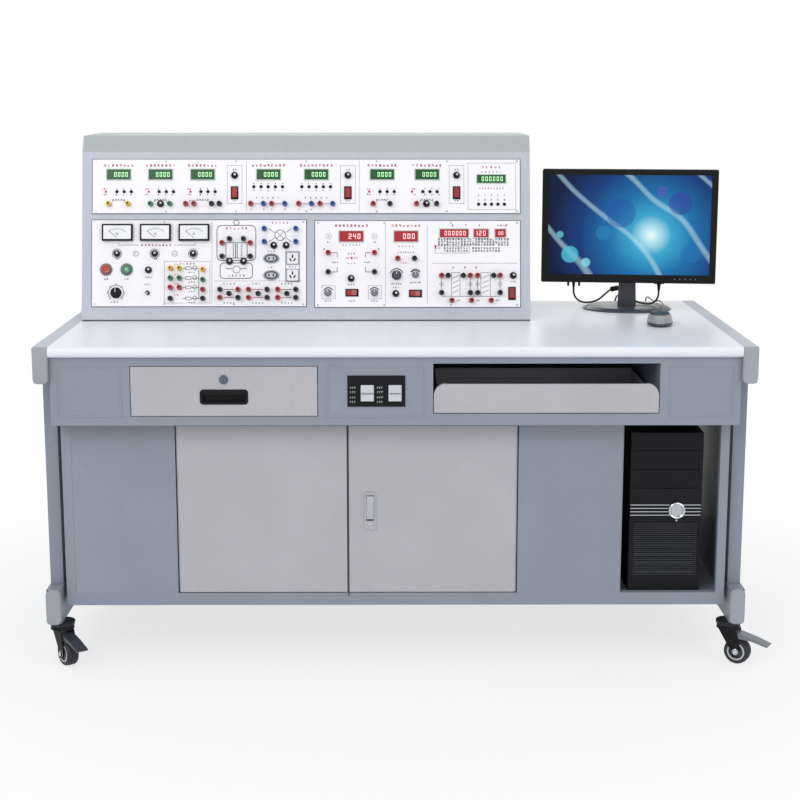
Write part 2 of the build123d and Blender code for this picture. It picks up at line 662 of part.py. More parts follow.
def drawer_lock():
    """Lock cylinder with its key slot and the flange that hides the hole."""
    face_front = APRON_FRONT - PANEL_RECESS
    place = Pos(DRAWER_CENTRE, face_front - 2.9, LOCK_HEIGHT) * Rot(-90, 0, 0)
    slot = place * Box(1.6, 8, 2)
    return place * (prism(16, LOCK_RADIUS, 2.9) + prism(12, LOCK_RADIUS - 2, 12)) - slot


def keyboard_tray():
    """Shelf with low sides behind a front whose top corners are rounded."""
    left, right = TRAY_CENTRE - TRAY_WIDTH / 2, TRAY_CENTRE + TRAY_WIDTH / 2
    top = TRAY_FRONT_BOTTOM + TRAY_FRONT_HEIGHT
    front = block((left, APRON_FRONT, TRAY_FRONT_BOTTOM), (right, APRON_FRONT + 12, top))
    upper = front.edges().filter_by(Axis.Y).sort_by(Axis.Z)[-2:]
    front = fillet(upper, TRAY_CORNER)
    shelf_left, shelf_right = left + SLIDE_SIDE_GAP, right - SLIDE_SIDE_GAP
    back = APRON_FRONT + TRAY_DEPTH
    shelf = block(
        (shelf_left, APRON_FRONT + 12, TRAY_FRONT_BOTTOM),
        (shelf_right, back, TRAY_FRONT_BOTTOM + TRAY_SIDE_HEIGHT),
    )
    shelf -= block(
        (shelf_left + SHEET, APRON_FRONT + 12, TRAY_FRONT_BOTTOM + SHEET),
        (shelf_right - SHEET, back - SHEET, TRAY_FRONT_BOTTOM + TRAY_SIDE_HEIGHT),
    )
    tray = front + shelf
    for side in (-1, 1):
        tray += slide_strip(side, TRAY_CENTRE, TRAY_WIDTH, TRAY_STRIP, APRON_FRONT + 20, back)
    return tray


# Rocker switches, drawn with the pivot along X, the travel along Y and the panel normal along Z
def rocker_arc_points(radius, steps):
    """Lower edge of a rocker, round about its pivot."""
    angles = [math.radians(200 + 140 * i / steps) for i in range(steps + 1)]
    return [(radius * math.cos(a), radius * math.sin(a)) for a in angles]


def rocker(width, length):
    """Waisted paddle with a round underside, resting on its off stop."""
    half = length / 2
    scale = length / ROCKER_LENGTH
    end, waist = ROCKER_END * scale, ROCKER_WAIST * scale
    top = [(half, 1.0), (half, end), (0, waist), (-half, end), (-half, 1.0)]
    paddle = prism_x(top + rocker_arc_points(ROCKER_ARC * scale, 6), -width / 2, width)
    return Rot(-ROCKER_SWING / 2, 0, 0) * paddle


def rocker_housing(width, length, proud):
    """Flanged box with the pocket that the paddle swings in."""
    scale = length / ROCKER_LENGTH
    pocket_x, pocket_y = width / 2 + SIDE_PLAY, length / 2 + 0.9 * scale
    flange_top = PIVOT_DEPTH * scale
    floor = -(ROCKER_ARC + 1) * scale
    body = block(
        (-pocket_x - HOUSING_WALL, -pocket_y - HOUSING_WALL, floor - HOUSING_WALL),
        (pocket_x + HOUSING_WALL, pocket_y + HOUSING_WALL, flange_top),
    )
    lap = HOUSING_WALL + proud
    body += block(
        (-pocket_x - lap, -pocket_y - lap, flange_top - HOUSING_FLANGE),
        (pocket_x + lap, pocket_y + lap, flange_top),
    )
    return body - block((-pocket_x, -pocket_y, floor), (pocket_x, pocket_y, flange_top))


def rocker_hole(width, length):
    """Half sizes of the hole that a rocker housing needs in its panel."""
    scale = length / ROCKER_LENGTH
    return width / 2 + 2 * SIDE_PLAY + HOUSING_WALL, length / 2 + 0.9 * scale + HOUSING_WALL + SIDE_PLAY


# The mains rockers face forward, and their pivots lie along X
MAINS_SCALE = MAINS_ROCKER_LENGTH / ROCKER_LENGTH
MAINS_PIVOT_Y = APRON_FRONT - SWITCH_PLATE_THICKNESS - HOUSING_FLANGE + PIVOT_DEPTH * MAINS_SCALE
FORWARD = Rot(90, 0, 0)


def mains_place(offset):
    return Pos(SWITCH_CENTRE + offset, MAINS_PIVOT_Y, SWITCH_CENTRE_HEIGHT - 5) * FORWARD


def switch_plate():
    """Black plate with the two rocker housings set in it."""
    half_x, half_z = SWITCH_PLATE_WIDTH / 2, SWITCH_PLATE_HEIGHT / 2
    plate = block(
        (SWITCH_CENTRE - half_x, APRON_FRONT - SWITCH_PLATE_THICKNESS, SWITCH_CENTRE_HEIGHT - half_z),
        (SWITCH_CENTRE + half_x, APRON_FRONT, SWITCH_CENTRE_HEIGHT + half_z),
    )
    for offset in MAINS_ROCKER_OFFSETS:
        place = mains_place(offset)
        hole_x, hole_y = rocker_hole(MAINS_ROCKER_WIDTH, MAINS_ROCKER_LENGTH)
        plate -= place * Box(2 * hole_x - 4 * SIDE_PLAY, 2 * hole_y - 4 * SIDE_PLAY, 40)
        plate += place * rocker_housing(MAINS_ROCKER_WIDTH, MAINS_ROCKER_LENGTH, 1.5)
    return plate


def mains_rockers():
    paddle = rocker(MAINS_ROCKER_WIDTH, MAINS_ROCKER_LENGTH)
    return [mains_place(offset) * paddle for offset in MAINS_ROCKER_OFFSETS]


# Cabinet with two hinged doors and the computer bay
CABINET_TOP = APRON_BOTTOM
DOOR_BOTTOM = CABINET_BOTTOM + BOTTOM_RAIL + DOOR_TOP_GAP
DOOR_TOP = CABINET_TOP - TOP_RAIL - DOOR_TOP_GAP
DOOR_RADIUS = FRAME_DEPTH / 2
DOOR_AXIS_Y = CABINET_FRONT + DOOR_RADIUS


def door_axis(door):
    """X of a door's hinge axis: the left door turns at its left edge, the right door at its right."""
    if door is LEFT_DOOR:
        return LEFT_DOOR[0] + FRONT_GAP + DOOR_RADIUS
    return RIGHT_DOOR[1] - FRONT_GAP - DOOR_RADIUS


def cabinet_case():
    """Sheet-metal carcass with stiles, rails, two fixed panels and the open bay."""
    back = -CABINET_FRONT
    side, frame_back = CABINET_SIDE, CABINET_FRONT + FRAME_DEPTH
    rail_top = CABINET_BOTTOM + BOTTOM_RAIL
    rail_under = CABINET_TOP - TOP_RAIL
    pieces = [
        block((-side, CABINET_FRONT, CABINET_BOTTOM), (-side + SHEET, back, CABINET_TOP)),
        block((side - SHEET, CABINET_FRONT, CABINET_BOTTOM), (side, back, CABINET_TOP)),
        block((-side, back - SHEET, CABINET_BOTTOM), (side, back, CABINET_TOP)),
        block((-side, CABINET_FRONT, CABINET_TOP - SHEET), (side, back, CABINET_TOP)),
        block((-side, CABINET_FRONT, CABINET_FLOOR - SHEET), (side, back, CABINET_FLOOR)),
        block((-side, CABINET_FRONT, CABINET_BOTTOM), (side, frame_back, rail_top)),
        block((-side, CABINET_FRONT, rail_under), (side, frame_back, CABINET_TOP)),
        block((-side, CABINET_FRONT, CABINET_BOTTOM), (-side + STILE_WIDTH, frame_back, CABINET_TOP)),
        block((BAY_RIGHT, CABINET_FRONT, CABINET_BOTTOM), (side, frame_back, CABINET_TOP)),
        block((BAY_LEFT - SHEET, CABINET_FRONT, CABINET_BOTTOM), (BAY_LEFT, back, CABINET_TOP)),
    ]
    case = pieces[0]
    for piece in pieces[1:]:
        case += piece
    panel_front = CABINET_FRONT + PANEL_RECESS
    for left, right, jamb in (
        (-side, LEFT_DOOR[0], LEFT_DOOR[0] - SHEET),
        (RIGHT_DOOR[1], BAY_LEFT, RIGHT_DOOR[1]),
    ):
        case += block((left, panel_front, CABINET_BOTTOM), (right, panel_front + SHEET, CABINET_TOP))
        case += block((jamb, panel_front, CABINET_BOTTOM), (jamb + SHEET, frame_back, CABINET_TOP))
    for door in (LEFT_DOOR, RIGHT_DOOR):
        pin = (door_axis(door), DOOR_AXIS_Y, (rail_top + rail_under) / 2)
        reach = rail_under - rail_top + 2 * DOOR_PIN_ENTRY
        case -= Pos(*pin) * bore(12, DOOR_PIN_RADIUS + RUNNING_FIT, reach + 1)
    case -= block((BAY_LEFT + 13, back - 2 * SHEET, 180), (BAY_RIGHT - 12, back + 1, 540))
    return case


def door_leaf(door):
    """Folded door with its hinge edge rounded about the pins, open at the back."""
    axis = door_axis(door)
    free = RIGHT_DOOR[0] if door is RIGHT_DOOR else LEFT_DOOR[1]
    low, high = sorted((axis, free))
    leaf = block((low, CABINET_FRONT, DOOR_BOTTOM), (high, CABINET_FRONT + FRAME_DEPTH, DOOR_TOP))
    height = DOOR_TOP - DOOR_BOTTOM
    leaf += rod_z((axis, DOOR_AXIS_Y, (DOOR_TOP + DOOR_BOTTOM) / 2), DOOR_RADIUS, height)
    way = math.copysign(1, free - axis)
    hollow_low, hollow_high = sorted((axis + way * DOOR_RADIUS, free - way * SHEET))
    leaf -= block(
        (hollow_low, CABINET_FRONT + SHEET, DOOR_BOTTOM + SHEET),
        (hollow_high, CABINET_FRONT + FRAME_DEPTH, DOOR_TOP - SHEET),
    )
    pins = []
    length = DOOR_TOP_GAP + DOOR_PIN_ENTRY
    for foot in (DOOR_TOP, DOOR_BOTTOM - length):
        pins.append(Pos(axis, DOOR_AXIS_Y, foot) * prism(12, DOOR_PIN_RADIUS, length))
    return leaf, pins


def left_door():
    leaf, pins = door_leaf(LEFT_DOOR)
    return [leaf] + pins


HANDLE_CUT = (HANDLE_WIDTH - 6.0, HANDLE_HEIGHT - 8.0)


def right_door():
    leaf, pins = door_leaf(RIGHT_DOOR)
    leaf -= block(
        (HANDLE_CENTRE - HANDLE_CUT[0] / 2, CABINET_FRONT - 1, HANDLE_CENTRE_HEIGHT - HANDLE_CUT[1] / 2),
        (HANDLE_CENTRE + HANDLE_CUT[0] / 2, CABINET_FRONT + SHEET, HANDLE_CENTRE_HEIGHT + HANDLE_CUT[1] / 2),
    )
    return [leaf] + pins


LEVER_PIVOT = (CABINET_FRONT + 4.0, HANDLE_CENTRE_HEIGHT + 34.0)
LEVER_RADIUS = 3.0


def handle_plate():
    """Dished plate of the flush handle, with the trough for the lever and the lock button below."""
    half_x, half_z = HANDLE_WIDTH / 2, HANDLE_HEIGHT / 2
    plate = block(
        (HANDLE_CENTRE - half_x, CABINET_FRONT - 2.5, HANDLE_CENTRE_HEIGHT - half_z),
        (HANDLE_CENTRE + half_x, CABINET_FRONT, HANDLE_CENTRE_HEIGHT + half_z),
    )
    plate = chamfer(plate.edges().filter_by(Axis.Y), 5)
    in_x, in_z = HANDLE_CUT[0] / 2 - SIDE_PLAY, HANDLE_CUT[1] / 2 - SIDE_PLAY
    plate += block(
        (HANDLE_CENTRE - in_x, CABINET_FRONT, HANDLE_CENTRE_HEIGHT - in_z),
        (HANDLE_CENTRE + in_x, CABINET_FRONT + 12, HANDLE_CENTRE_HEIGHT + in_z),
    )
    trough = LEVER_WIDTH / 2 + SIDE_PLAY
    lever_top = LEVER_PIVOT[1] + LEVER_RADIUS
    plate -= block(
        (HANDLE_CENTRE - trough, CABINET_FRONT - 3, lever_top - LEVER_LENGTH - 3),
        (HANDLE_CENTRE + trough, CABINET_FRONT + 8, lever_top + SIDE_PLAY),
    )
    lock = Pos(HANDLE_CENTRE, CABINET_FRONT - 5, HANDLE_CENTRE_HEIGHT - 33) * Rot(-90, 0, 0) * prism(12, 6, 5)
    plate += lock
    return plate


def door_handle():
    """Pull-out lever that swings on a round boss at its top end."""
    pivot_y, pivot_z = LEVER_PIVOT
    y = CABINET_FRONT
    bottom = pivot_z + LEVER_RADIUS - LEVER_LENGTH
    outline = [
        (pivot_y, pivot_z + LEVER_RADIUS), (y - 0.5, pivot_z + 1), (y - 4, pivot_z - 12),
        (y - 4.5, bottom + 10), (y - 2.5, bottom), (y + 1, bottom), (y + 2, bottom + 12),
        (y + 3, pivot_z - LEVER_RADIUS), (pivot_y, pivot_z - LEVER_RADIUS),
    ]
    lever = prism_x(outline, HANDLE_CENTRE - LEVER_WIDTH / 2, LEVER_WIDTH)
    return lever + rod_x((HANDLE_CENTRE, pivot_y, pivot_z), LEVER_RADIUS, LEVER_WIDTH)


# Computer tower in the open bay
TOWER_FRONT = CABINET_FRONT + TOWER_SETBACK
TOWER_TOP = CABINET_FLOOR + TOWER_HEIGHT
TOWER_LEFT = TOWER_CENTRE - TOWER_WIDTH / 2
TOWER_RIGHT = TOWER_CENTRE + TOWER_WIDTH / 2


def tower_bezel():
    """Front moulding with a bowed face, drive covers, bands and a slatted intake."""
    bow = 4.0
    half, back = TOWER_WIDTH / 2, TOWER_BEZEL
    left = [(-half, back), (-half, bow), (-half / 2, bow / 4)]
    right = [(half / 2, bow / 4), (half, bow), (half, back)]
    face = make_face(Polyline(*left, *right, close=True))
    bezel = Pos(TOWER_CENTRE, TOWER_FRONT, CABINET_FLOOR) * extrude(face, TOWER_HEIGHT)
    groove = TOWER_FRONT + bow + 1.5
    for z in (TOWER_TOP - 42, TOWER_TOP - 86, TOWER_TOP - 130):
        bezel -= block((TOWER_LEFT + 8, TOWER_FRONT - 1, z - 0.8), (TOWER_RIGHT - 8, groove, z + 0.8))
    for i in range(4):
        z = POWER_BUTTON_HEIGHT - 12 + 8 * i
        band_back = TOWER_FRONT + bow + 0.6
        bezel -= block((TOWER_LEFT, TOWER_FRONT - 1, z - 1.2), (TOWER_RIGHT, band_back, z + 1.2))
    place = Pos(POWER_BUTTON_X, TOWER_FRONT - 2, POWER_BUTTON_HEIGHT) * Rot(-90, 0, 0)
    bezel += place * prism(16, POWER_BUTTON_RADIUS + 5, 12)
    bezel -= place * bore(16, POWER_BUTTON_RADIUS + SIDE_PLAY, 28)
    for i in range(5):
        z = CABINET_FLOOR + 42 + 20 * i
        bezel -= block((TOWER_LEFT + 14, TOWER_FRONT - 1, z), (TOWER_RIGHT - 14, TOWER_FRONT + 12, z + 9))
    return bezel


def pc_tower():
    """Steel case, open at the front where the moulding closes it, with the rear ports."""
    back = TOWER_FRONT + TOWER_DEPTH
    shell_front = TOWER_FRONT + TOWER_BEZEL
    shell = block((TOWER_LEFT, shell_front, CABINET_FLOOR), (TOWER_RIGHT, back, TOWER_TOP))
    shell -= block(
        (TOWER_LEFT + SHEET, shell_front, CABINET_FLOOR + SHEET),
        (TOWER_RIGHT - SHEET, back - SHEET, TOWER_TOP - SHEET),
    )
    return tower_bezel(), shell


def pc_button():
    place = Pos(POWER_BUTTON_X, TOWER_FRONT - 4, POWER_BUTTON_HEIGHT) * Rot(-90, 0, 0)
    return place * prism(16, POWER_BUTTON_RADIUS, 10)


# Leaning console
CONSOLE_FACE_TOP = (CONSOLE_SETBACK + CONSOLE_SLOPE * SLOPE_SIN, WORKTOP_HEIGHT + CONSOLE_SLOPE * SLOPE_COS)


def console_outline(inset):
    """Side outline of the console, drawn in by the sheet where the inside is wanted."""
    top_y, top_z = CONSOLE_FACE_TOP
    lean_shift = inset / SLOPE_COS
    hood_slope = math.atan2(HOOD_RISE, HOOD_RUN)
    hood_shift = inset * math.tan((math.pi / 2 - hood_slope) / 2)
    low = WORKTOP_HEIGHT + inset
    high = top_z + HOOD_RISE - inset
    return [
        (CONSOLE_SETBACK + lean_shift + inset * SLOPE_SIN / SLOPE_COS, low),
        (top_y + lean_shift, top_z),
        (top_y + HOOD_RUN + inset + hood_shift, high),
        (CONSOLE_BACK - inset, high),
        (CONSOLE_BACK - inset, low),
    ]


def board_cut(board):
    """Opening behind one board, smaller than the board by its lap."""
    left, right, low, high = board
    across, up = (left + right) / 2, (low + high) / 2
    return FACE * Pos(across, up, 0) * Box(right - left - 2 * BOARD_LAP, high - low - 2 * BOARD_LAP, 12)


def console_case():
    """Folded housing with a leaning face, a bevelled hood and three board openings."""
    outer = prism_x(console_outline(0), CONSOLE_LEFT, CONSOLE_RIGHT - CONSOLE_LEFT)
    inner = prism_x(console_outline(SHEET), CONSOLE_LEFT + SHEET, CONSOLE_RIGHT - CONSOLE_LEFT - 2 * SHEET)
    case = outer - inner
    for board in (TOP_BOARD, LEFT_BOARD, RIGHT_BOARD):
        case -= board_cut(board)
    return case


def panel_box(x, up, width, height, low, high):
    """Box on the leaning face, between two distances from it."""
    return FACE * Pos(x, up, (low + high) / 2) * Box(width, height, high - low)


def panel_bore(x, up, radius, low, high, sides=12):
    """Many-sided hole on the leaning face whose flats clear a shaft of this radius."""
    return FACE * Pos(x, up, (low + high) / 2) * bore(sides, radius, high - low)


def panel_stud(x, up, radius, low, high, taper=0, sides=8):
    """Many-sided prism on the leaning face."""
    return FACE * Pos(x, up, low) * prism(sides, radius, high - low, taper)


HOUSING_SEAT = PIVOT_DEPTH - HOUSING_FLANGE
TOGGLE_PIVOT = BOARD_THICKNESS + 0.5 + TOGGLE_BALL + SIDE_PLAY


def rocker_places():
    """Every rocker on the console as its place with the pivot along local X."""
    lift = BOARD_THICKNESS - HOUSING_SEAT
    places = {"module_rockers": [FACE * Pos(x, up, lift) for x, up in MODULE_ROCKERS]}
    sideways = Rot(0, 0, 90)
    places["supply_rocker"] = [FACE * Pos(*SUPPLY_ROCKER, lift) * sideways]
    places["generator_rocker"] = [FACE * Pos(*GENERATOR_ROCKER, lift) * sideways]
    places["counter_rocker"] = [FACE * Pos(*COUNTER_ROCKER, lift)]
    return places


def module_holes():
    """Every cut-out in the three boards."""
    thick = 4 * BOARD_THICKNESS
    play = 2 * SIDE_PLAY
    holes = [panel_box(x, up, wide + play, high + play, -thick, thick) for x, up, wide, high in DISPLAYS]
    meter_x, meter_y = METER_SIZE[0] - 12, METER_SIZE[1] - 6
    holes += [panel_box(x, up, meter_x, meter_y, -thick, thick) for x, up in METERS]
    hole_x, hole_y = rocker_hole(ROCKER_WIDTH, ROCKER_LENGTH)
    for places in rocker_places().values():
        holes += [place * Box(2 * hole_x, 2 * hole_y, 2 * thick) for place in places]
    gap = 2 * (KEY_RADIUS + SIDE_PLAY)
    for x, up, count, pitch in KEY_GROUPS:
        holes.append(panel_box(x, up, (count - 1) * pitch + gap, gap, -thick, thick))
    for x, up in (STOP_BUTTON, START_BUTTON):
        holes.append(panel_bore(x, up, START_RADIUS + SIDE_PLAY, -thick, thick, sides=16))
    for x, up, _, _ in KNOBS.values():
        holes.append(panel_bore(x, up, SHAFT_RADIUS + RUNNING_FIT, -thick, thick, sides=8))
    return holes


def instrument_board(board):
    """One board, cut for the parts that stand in it."""
    left, right, low, high = board
    plate = panel_box((left + right) / 2, (low + high) / 2, right - left, high - low, 0, BOARD_THICKNESS)
    limits = plate.bounding_box()
    for hole in module_holes():
        centre = hole.center()
        if limits.min.X < centre.X < limits.max.X and limits.min.Z < centre.Z < limits.max.Z:
            plate -= hole
    return plate


def binding_posts():
    """Tapered caps of the safety terminals, seated on the boards."""
    top = BOARD_THICKNESS + TERMINAL_HEIGHT
    return [panel_stud(x, up, TERMINAL_RADIUS, BOARD_THICKNESS, top, taper=4, sides=6) for x, up in TERMINALS]


def display_modules():
    """Digital displays: a flanged body with a sunk window."""
    pieces = []
    proud = BOARD_THICKNESS + BEZEL_PROUD
    for x, up, width, height in DISPLAYS:
        module = panel_box(x, up, width, height, BOARD_THICKNESS - MODULE_DEPTH, proud)
        module += panel_box(x, up, width + 2 * BEZEL_LAP, height + 2 * BEZEL_LAP, BOARD_THICKNESS, proud)
        pieces.append(module - panel_box(x, up, width - 2, height - 2, proud - 1.2, proud + 1))
    return pieces


def panel_meters():
    """Moving-coil meters: a framed window in front of a square body."""
    pieces = []
    width, height = METER_SIZE
    proud = BOARD_THICKNESS + METER_PROUD
    for x, up in METERS:
        meter = panel_box(x, up, width - 13, height - 7, BOARD_THICKNESS - 28, proud)
        meter += panel_box(x, up, width, height, BOARD_THICKNESS, proud)
        pieces.append(meter - panel_box(x, up, width - 12, height - 12, proud - 4, proud + 1))
    return pieces


def panel_fittings():
    """Fuse holders, rocker housings, button rings and the toggle bush."""
    pieces = []
    for x, up in FUSES:
        top = BOARD_THICKNESS + FUSE_HEIGHT
        pieces.append(panel_stud(x, up, FUSE_RADIUS, BOARD_THICKNESS, top, taper=8, sides=6))
    housing = rocker_housing(ROCKER_WIDTH, ROCKER_LENGTH, 1.5)
    for places in rocker_places().values():
        pieces += [place * housing for place in places]
    for x, up in (STOP_BUTTON, START_BUTTON):
        ring = panel_stud(x, up, START_RADIUS + 3, BOARD_THICKNESS, BOARD_THICKNESS + 4, sides=16)
        pieces.append(ring - panel_bore(x, up, START_RADIUS + SIDE_PLAY, 0, BOARD_THICKNESS + 5, sides=16))
    x, up = TOGGLE
    bush = panel_stud(x, up, TOGGLE_BUSH, BOARD_THICKNESS, BOARD_THICKNESS + 6)
    well = panel_bore(x, up, TOGGLE_BALL + SIDE_PLAY, BOARD_THICKNESS + 0.5, BOARD_THICKNESS + 7, sides=8)
    pieces.append(bush - well)
    return pieces


def toggle_lever():
    """Bat lever on a round cross pin, leaning to its lower stop."""
    x, up = TOGGLE
    pin = Pos(-2, 0, 0) * Rot(0, 90, 0) * prism(12, TOGGLE_BALL - 0.6, 4)
    bat = Pos(0, 0, 16) * Rot(180, 0, 0) * prism(8, 2.4, 15, taper=4)
    return FACE * Pos(x, up, TOGGLE_PIVOT) * Rot(12, 0, 0) * (pin + bat)


def knob(x, up, radius, height):
    """Tapered knob with a pointer rib, on a shaft that runs in the board."""
    base = BOARD_THICKNESS + SIDE_PLAY
    piece = panel_stud(x, up, radius, base, base + height, taper=8, sides=12)
    piece += panel_box(x, up + radius * 0.35, 2.0, radius * 0.7, base + height / 2, base + height + 1)
    return piece + panel_stud(x, up, SHAFT_RADIUS, -10, base)


def push_button(x, up):
    """Round cap that stands in its ring and passes through the board."""
    return panel_stud(x, up, START_RADIUS, -6, BOARD_THICKNESS + START_PROUD, sides=16)


def range_keys():
    """Keys of every group; a slot behind each group guides them."""
    top = BOARD_THICKNESS + KEY_PROUD
    pieces = []
    for x, up, count, pitch in KEY_GROUPS:
        for i in range(count):
            across = x + (i - (count - 1) / 2) * pitch
            pieces.append(panel_stud(across, up, KEY_RADIUS, -6, top, sides=6))
    return pieces


def oval_socket(x, up):
    """Recessed two-pin outlet with an oval rim."""
    rim = FACE * Pos(x, up, BOARD_THICKNESS) * extrude(oval(18.5, 11, 16), 4)
    for pin in (-6, 6):
        rim -= panel_box(x + pin, up, 2.2, 7, BOARD_THICKNESS + 1, BOARD_THICKNESS + 5)
    return rim


def slot_socket(x, up):
    """Square outlet with one upright slot and two leaning ones."""
    plate = panel_box(x, up, 30, 30, BOARD_THICKNESS, BOARD_THICKNESS + 3)
    for dx, dy, turn in ((0, 6, 0), (-6, -4, 30), (6, -4, -30)):
        slot = FACE * Pos(x + dx, up + dy, BOARD_THICKNESS + 2.5) * Rot(0, 0, turn) * Box(2, 7, 3)
        plate -= slot
    return plate


OUTLET_CENTRE = (290.0, 230.0)
OUTLET_DEPTH = 8.0


def bay_outlet():
    """Outlet for the monitor on the right wall of the computer bay."""
    y, z = OUTLET_CENTRE
    right = CABINET_SIDE - SHEET
    return block((right - OUTLET_DEPTH, y - 30, z - 30), (right, y + 30, z + 30))


def mains_sockets():
    pieces = [oval_socket(*spot) for spot in OVAL_SOCKETS]
    pieces += [slot_socket(*spot) for spot in SLOT_SOCKETS]
    return pieces + [bay_outlet()]


def console_electronics():
    """Mains transformer on the console floor and a circuit board behind each instrument board."""
    floor = WORKTOP_HEIGHT + SHEET
    core = block((-640, 190, floor), (-520, 290, floor + 100))
    coil = block((-615, 170, floor + 18), (-545, 310, floor + 82))
    pieces = [core + coil]
    inset = BOARD_LAP + 6
    for board, last_post in ((TOP_BOARD, 22), (LEFT_BOARD, 22), (RIGHT_BOARD, 71)):
        left, right, low, high = board
        across, up = (left + right) / 2, (low + high) / 2
        card = panel_box(across, up, right - left - 2 * inset, high - low - 2 * inset, -34, -32.4)
        for x in (left + inset + 6, right - last_post):
            for s in (low + inset + 3.5, high - inset - 3.5):
                card += panel_box(x, s, 5, 5, -33, 0)
        pieces.append(card)
    return pieces


# Monitor, drawn about its stand and then turned a little to the left
def monitor_stand():
    """Domed oval foot and a tapering neck with the tilt barrel and its pin."""
    long, short = BASE_SIZE[0] / 2, BASE_SIZE[1] / 2
    rim = oval(long, short, 28)
    foot = Pos(0, 0, WORKTOP_HEIGHT) * extrude(rim, 3)
    foot += Pos(0, 0, WORKTOP_HEIGHT + 3) * extrude(rim, BASE_THICKNESS - 3, taper=62)
    top = TILT_HEIGHT
    bottom = WORKTOP_HEIGHT + 2
    wide, narrow = NECK_WIDTHS[0] / 2, NECK_WIDTHS[1] / 2
    neck = prism_y([(-wide, bottom), (wide, bottom), (narrow, top), (-narrow, top)], NECK_FRONT, NECK_DEPTH)
    barrel_y = NECK_FRONT + TILT_RADIUS
    along_x = Rot(0, 90, 0)
    barrel = Pos(-narrow, barrel_y, top) * along_x * prism(16, TILT_RADIUS, 2 * narrow)
    pin = Pos(-narrow - 8, barrel_y, top) * along_x * prism(12, TILT_PIN, 2 * narrow + 16)
    return STAND * (foot + neck + barrel + pin)


TILT_Y = NECK_FRONT + TILT_RADIUS


def monitor_head():
    """Thin housing with the screen recess, the rear casing and two tilt lugs."""
    half = MONITOR_WIDTH / 2
    top = MONITOR_BOTTOM + MONITOR_HEIGHT
    back = MONITOR_FRONT + MONITOR_DEPTH
    shell = block((-half, MONITOR_FRONT, MONITOR_BOTTOM), (half, back, top))
    shell = chamfer(shell.edges().filter_by(Axis.Y), 3)
    shell = chamfer(shell.faces().sort_by(Axis.Y)[-1].edges(), 5)
    wide, tall, deep = REAR_CASE
    case_top = REAR_CASE_BOTTOM + tall
    case = block((-wide / 2, back, REAR_CASE_BOTTOM), (wide / 2, back + deep, case_top))
    case = chamfer(case.faces().sort_by(Axis.Y)[-1].edges(), 5)
    narrow = NECK_WIDTHS[1] / 2
    notch = narrow + 12
    notch_top = TILT_HEIGHT + TILT_RADIUS + 6
    case -= block((-notch, back, REAR_CASE_BOTTOM - 1), (notch, back + deep + 1, notch_top))
    screen_x, screen_z = SCREEN_SIZE[0] / 2, SCREEN_SIZE[1]
    bottom = MONITOR_BOTTOM + SCREEN_RISE
    shell -= block((-screen_x, MONITOR_FRONT - 1, bottom), (screen_x, MONITOR_FRONT + 3, bottom + screen_z))
    head = shell + case
    lug = [(back, TILT_HEIGHT - 9), (TILT_Y, TILT_HEIGHT - 9), (TILT_Y + 7, TILT_HEIGHT - 5)]
    lug += [(TILT_Y + 7, TILT_HEIGHT + 5), (TILT_Y, TILT_HEIGHT + 9), (back, TILT_HEIGHT + 9)]
    for side in (-1, 1):
        x_low, x_high = sorted((side * (narrow + 1), side * (narrow + 8)))
        head += prism_x(lug, x_low, x_high - x_low)
    head -= Pos(0, TILT_Y, TILT_HEIGHT) * Rot(0, 90, 0) * bore(12, TILT_PIN + RUNNING_FIT, 2 * narrow + 40)
    screen = block((-screen_x, MONITOR_FRONT + 1.5, bottom), (screen_x, MONITOR_FRONT + 3, bottom + screen_z))
    return STAND * head, STAND * screen


VIDEO_PLUG_X = -137.0
POWER_PLUG_X = 80.4
PLUG_Y = -7.0


def head_plugs():
    """Video plug with two thumbscrews and the monitor's power plug, under the rear casing."""
    top = REAR_CASE_BOTTOM
    x, y = VIDEO_PLUG_X, PLUG_Y
    video = block((x - 20, y - 6, top - 30), (x + 20, y + 6, top))
    start = VIDEO_ROUTE[0][2]
    video += Pos(x, y, top - 30) * Rot(180, 0, 0) * prism(8, LEAD_DIAMETER + 0.6, top - 30 - start, taper=6)
    for side in (-1, 1):
        video += Pos(x + side * 14, y, top - 50) * prism(6, 3, 20)
    x = POWER_PLUG_X
    power = block((x - 13, y - 6.5, top - 42), (x + 13, y + 6.5, top))
    start = POWER_ROUTE[0][2]
    power += Pos(x, y, top - 42) * Rot(180, 0, 0) * prism(8, LEAD_DIAMETER + 0.4, top - 42 - start, taper=7)
    return STAND * video, STAND * power


def rear_plugs():
    """Plugs at the computer's back and in the bay outlet."""
    back = TOWER_FRONT + TOWER_DEPTH
    pieces = []
    for (x, y, z), width, height, depth, diameter in (
        (VIDEO_ROUTE[-1], 40, 16, 28, LEAD_DIAMETER), (MOUSE_ROUTE[-1], 16, 9, 36, MOUSE_LEAD_DIAMETER),
    ):
        plug = block((x - width / 2, back, z - height / 2), (x + width / 2, back + depth, z + height / 2))
        neck = y - back - depth
        pieces.append(plug + Pos(x, y, z) * Rot(90, 0, 0) * prism(8, diameter / 2 + 1.2, neck))
    x, y, z = POWER_ROUTE[-1]
    wall = CABINET_SIDE - SHEET - OUTLET_DEPTH
    plug = block((x + 10, y - 13, z - 10), (wall, y + 13, z + 10))
    pieces.append(plug + Pos(x, y, z) * Rot(0, 90, 0) * prism(8, LEAD_DIAMETER / 2 + 1.5, 10))
    return pieces


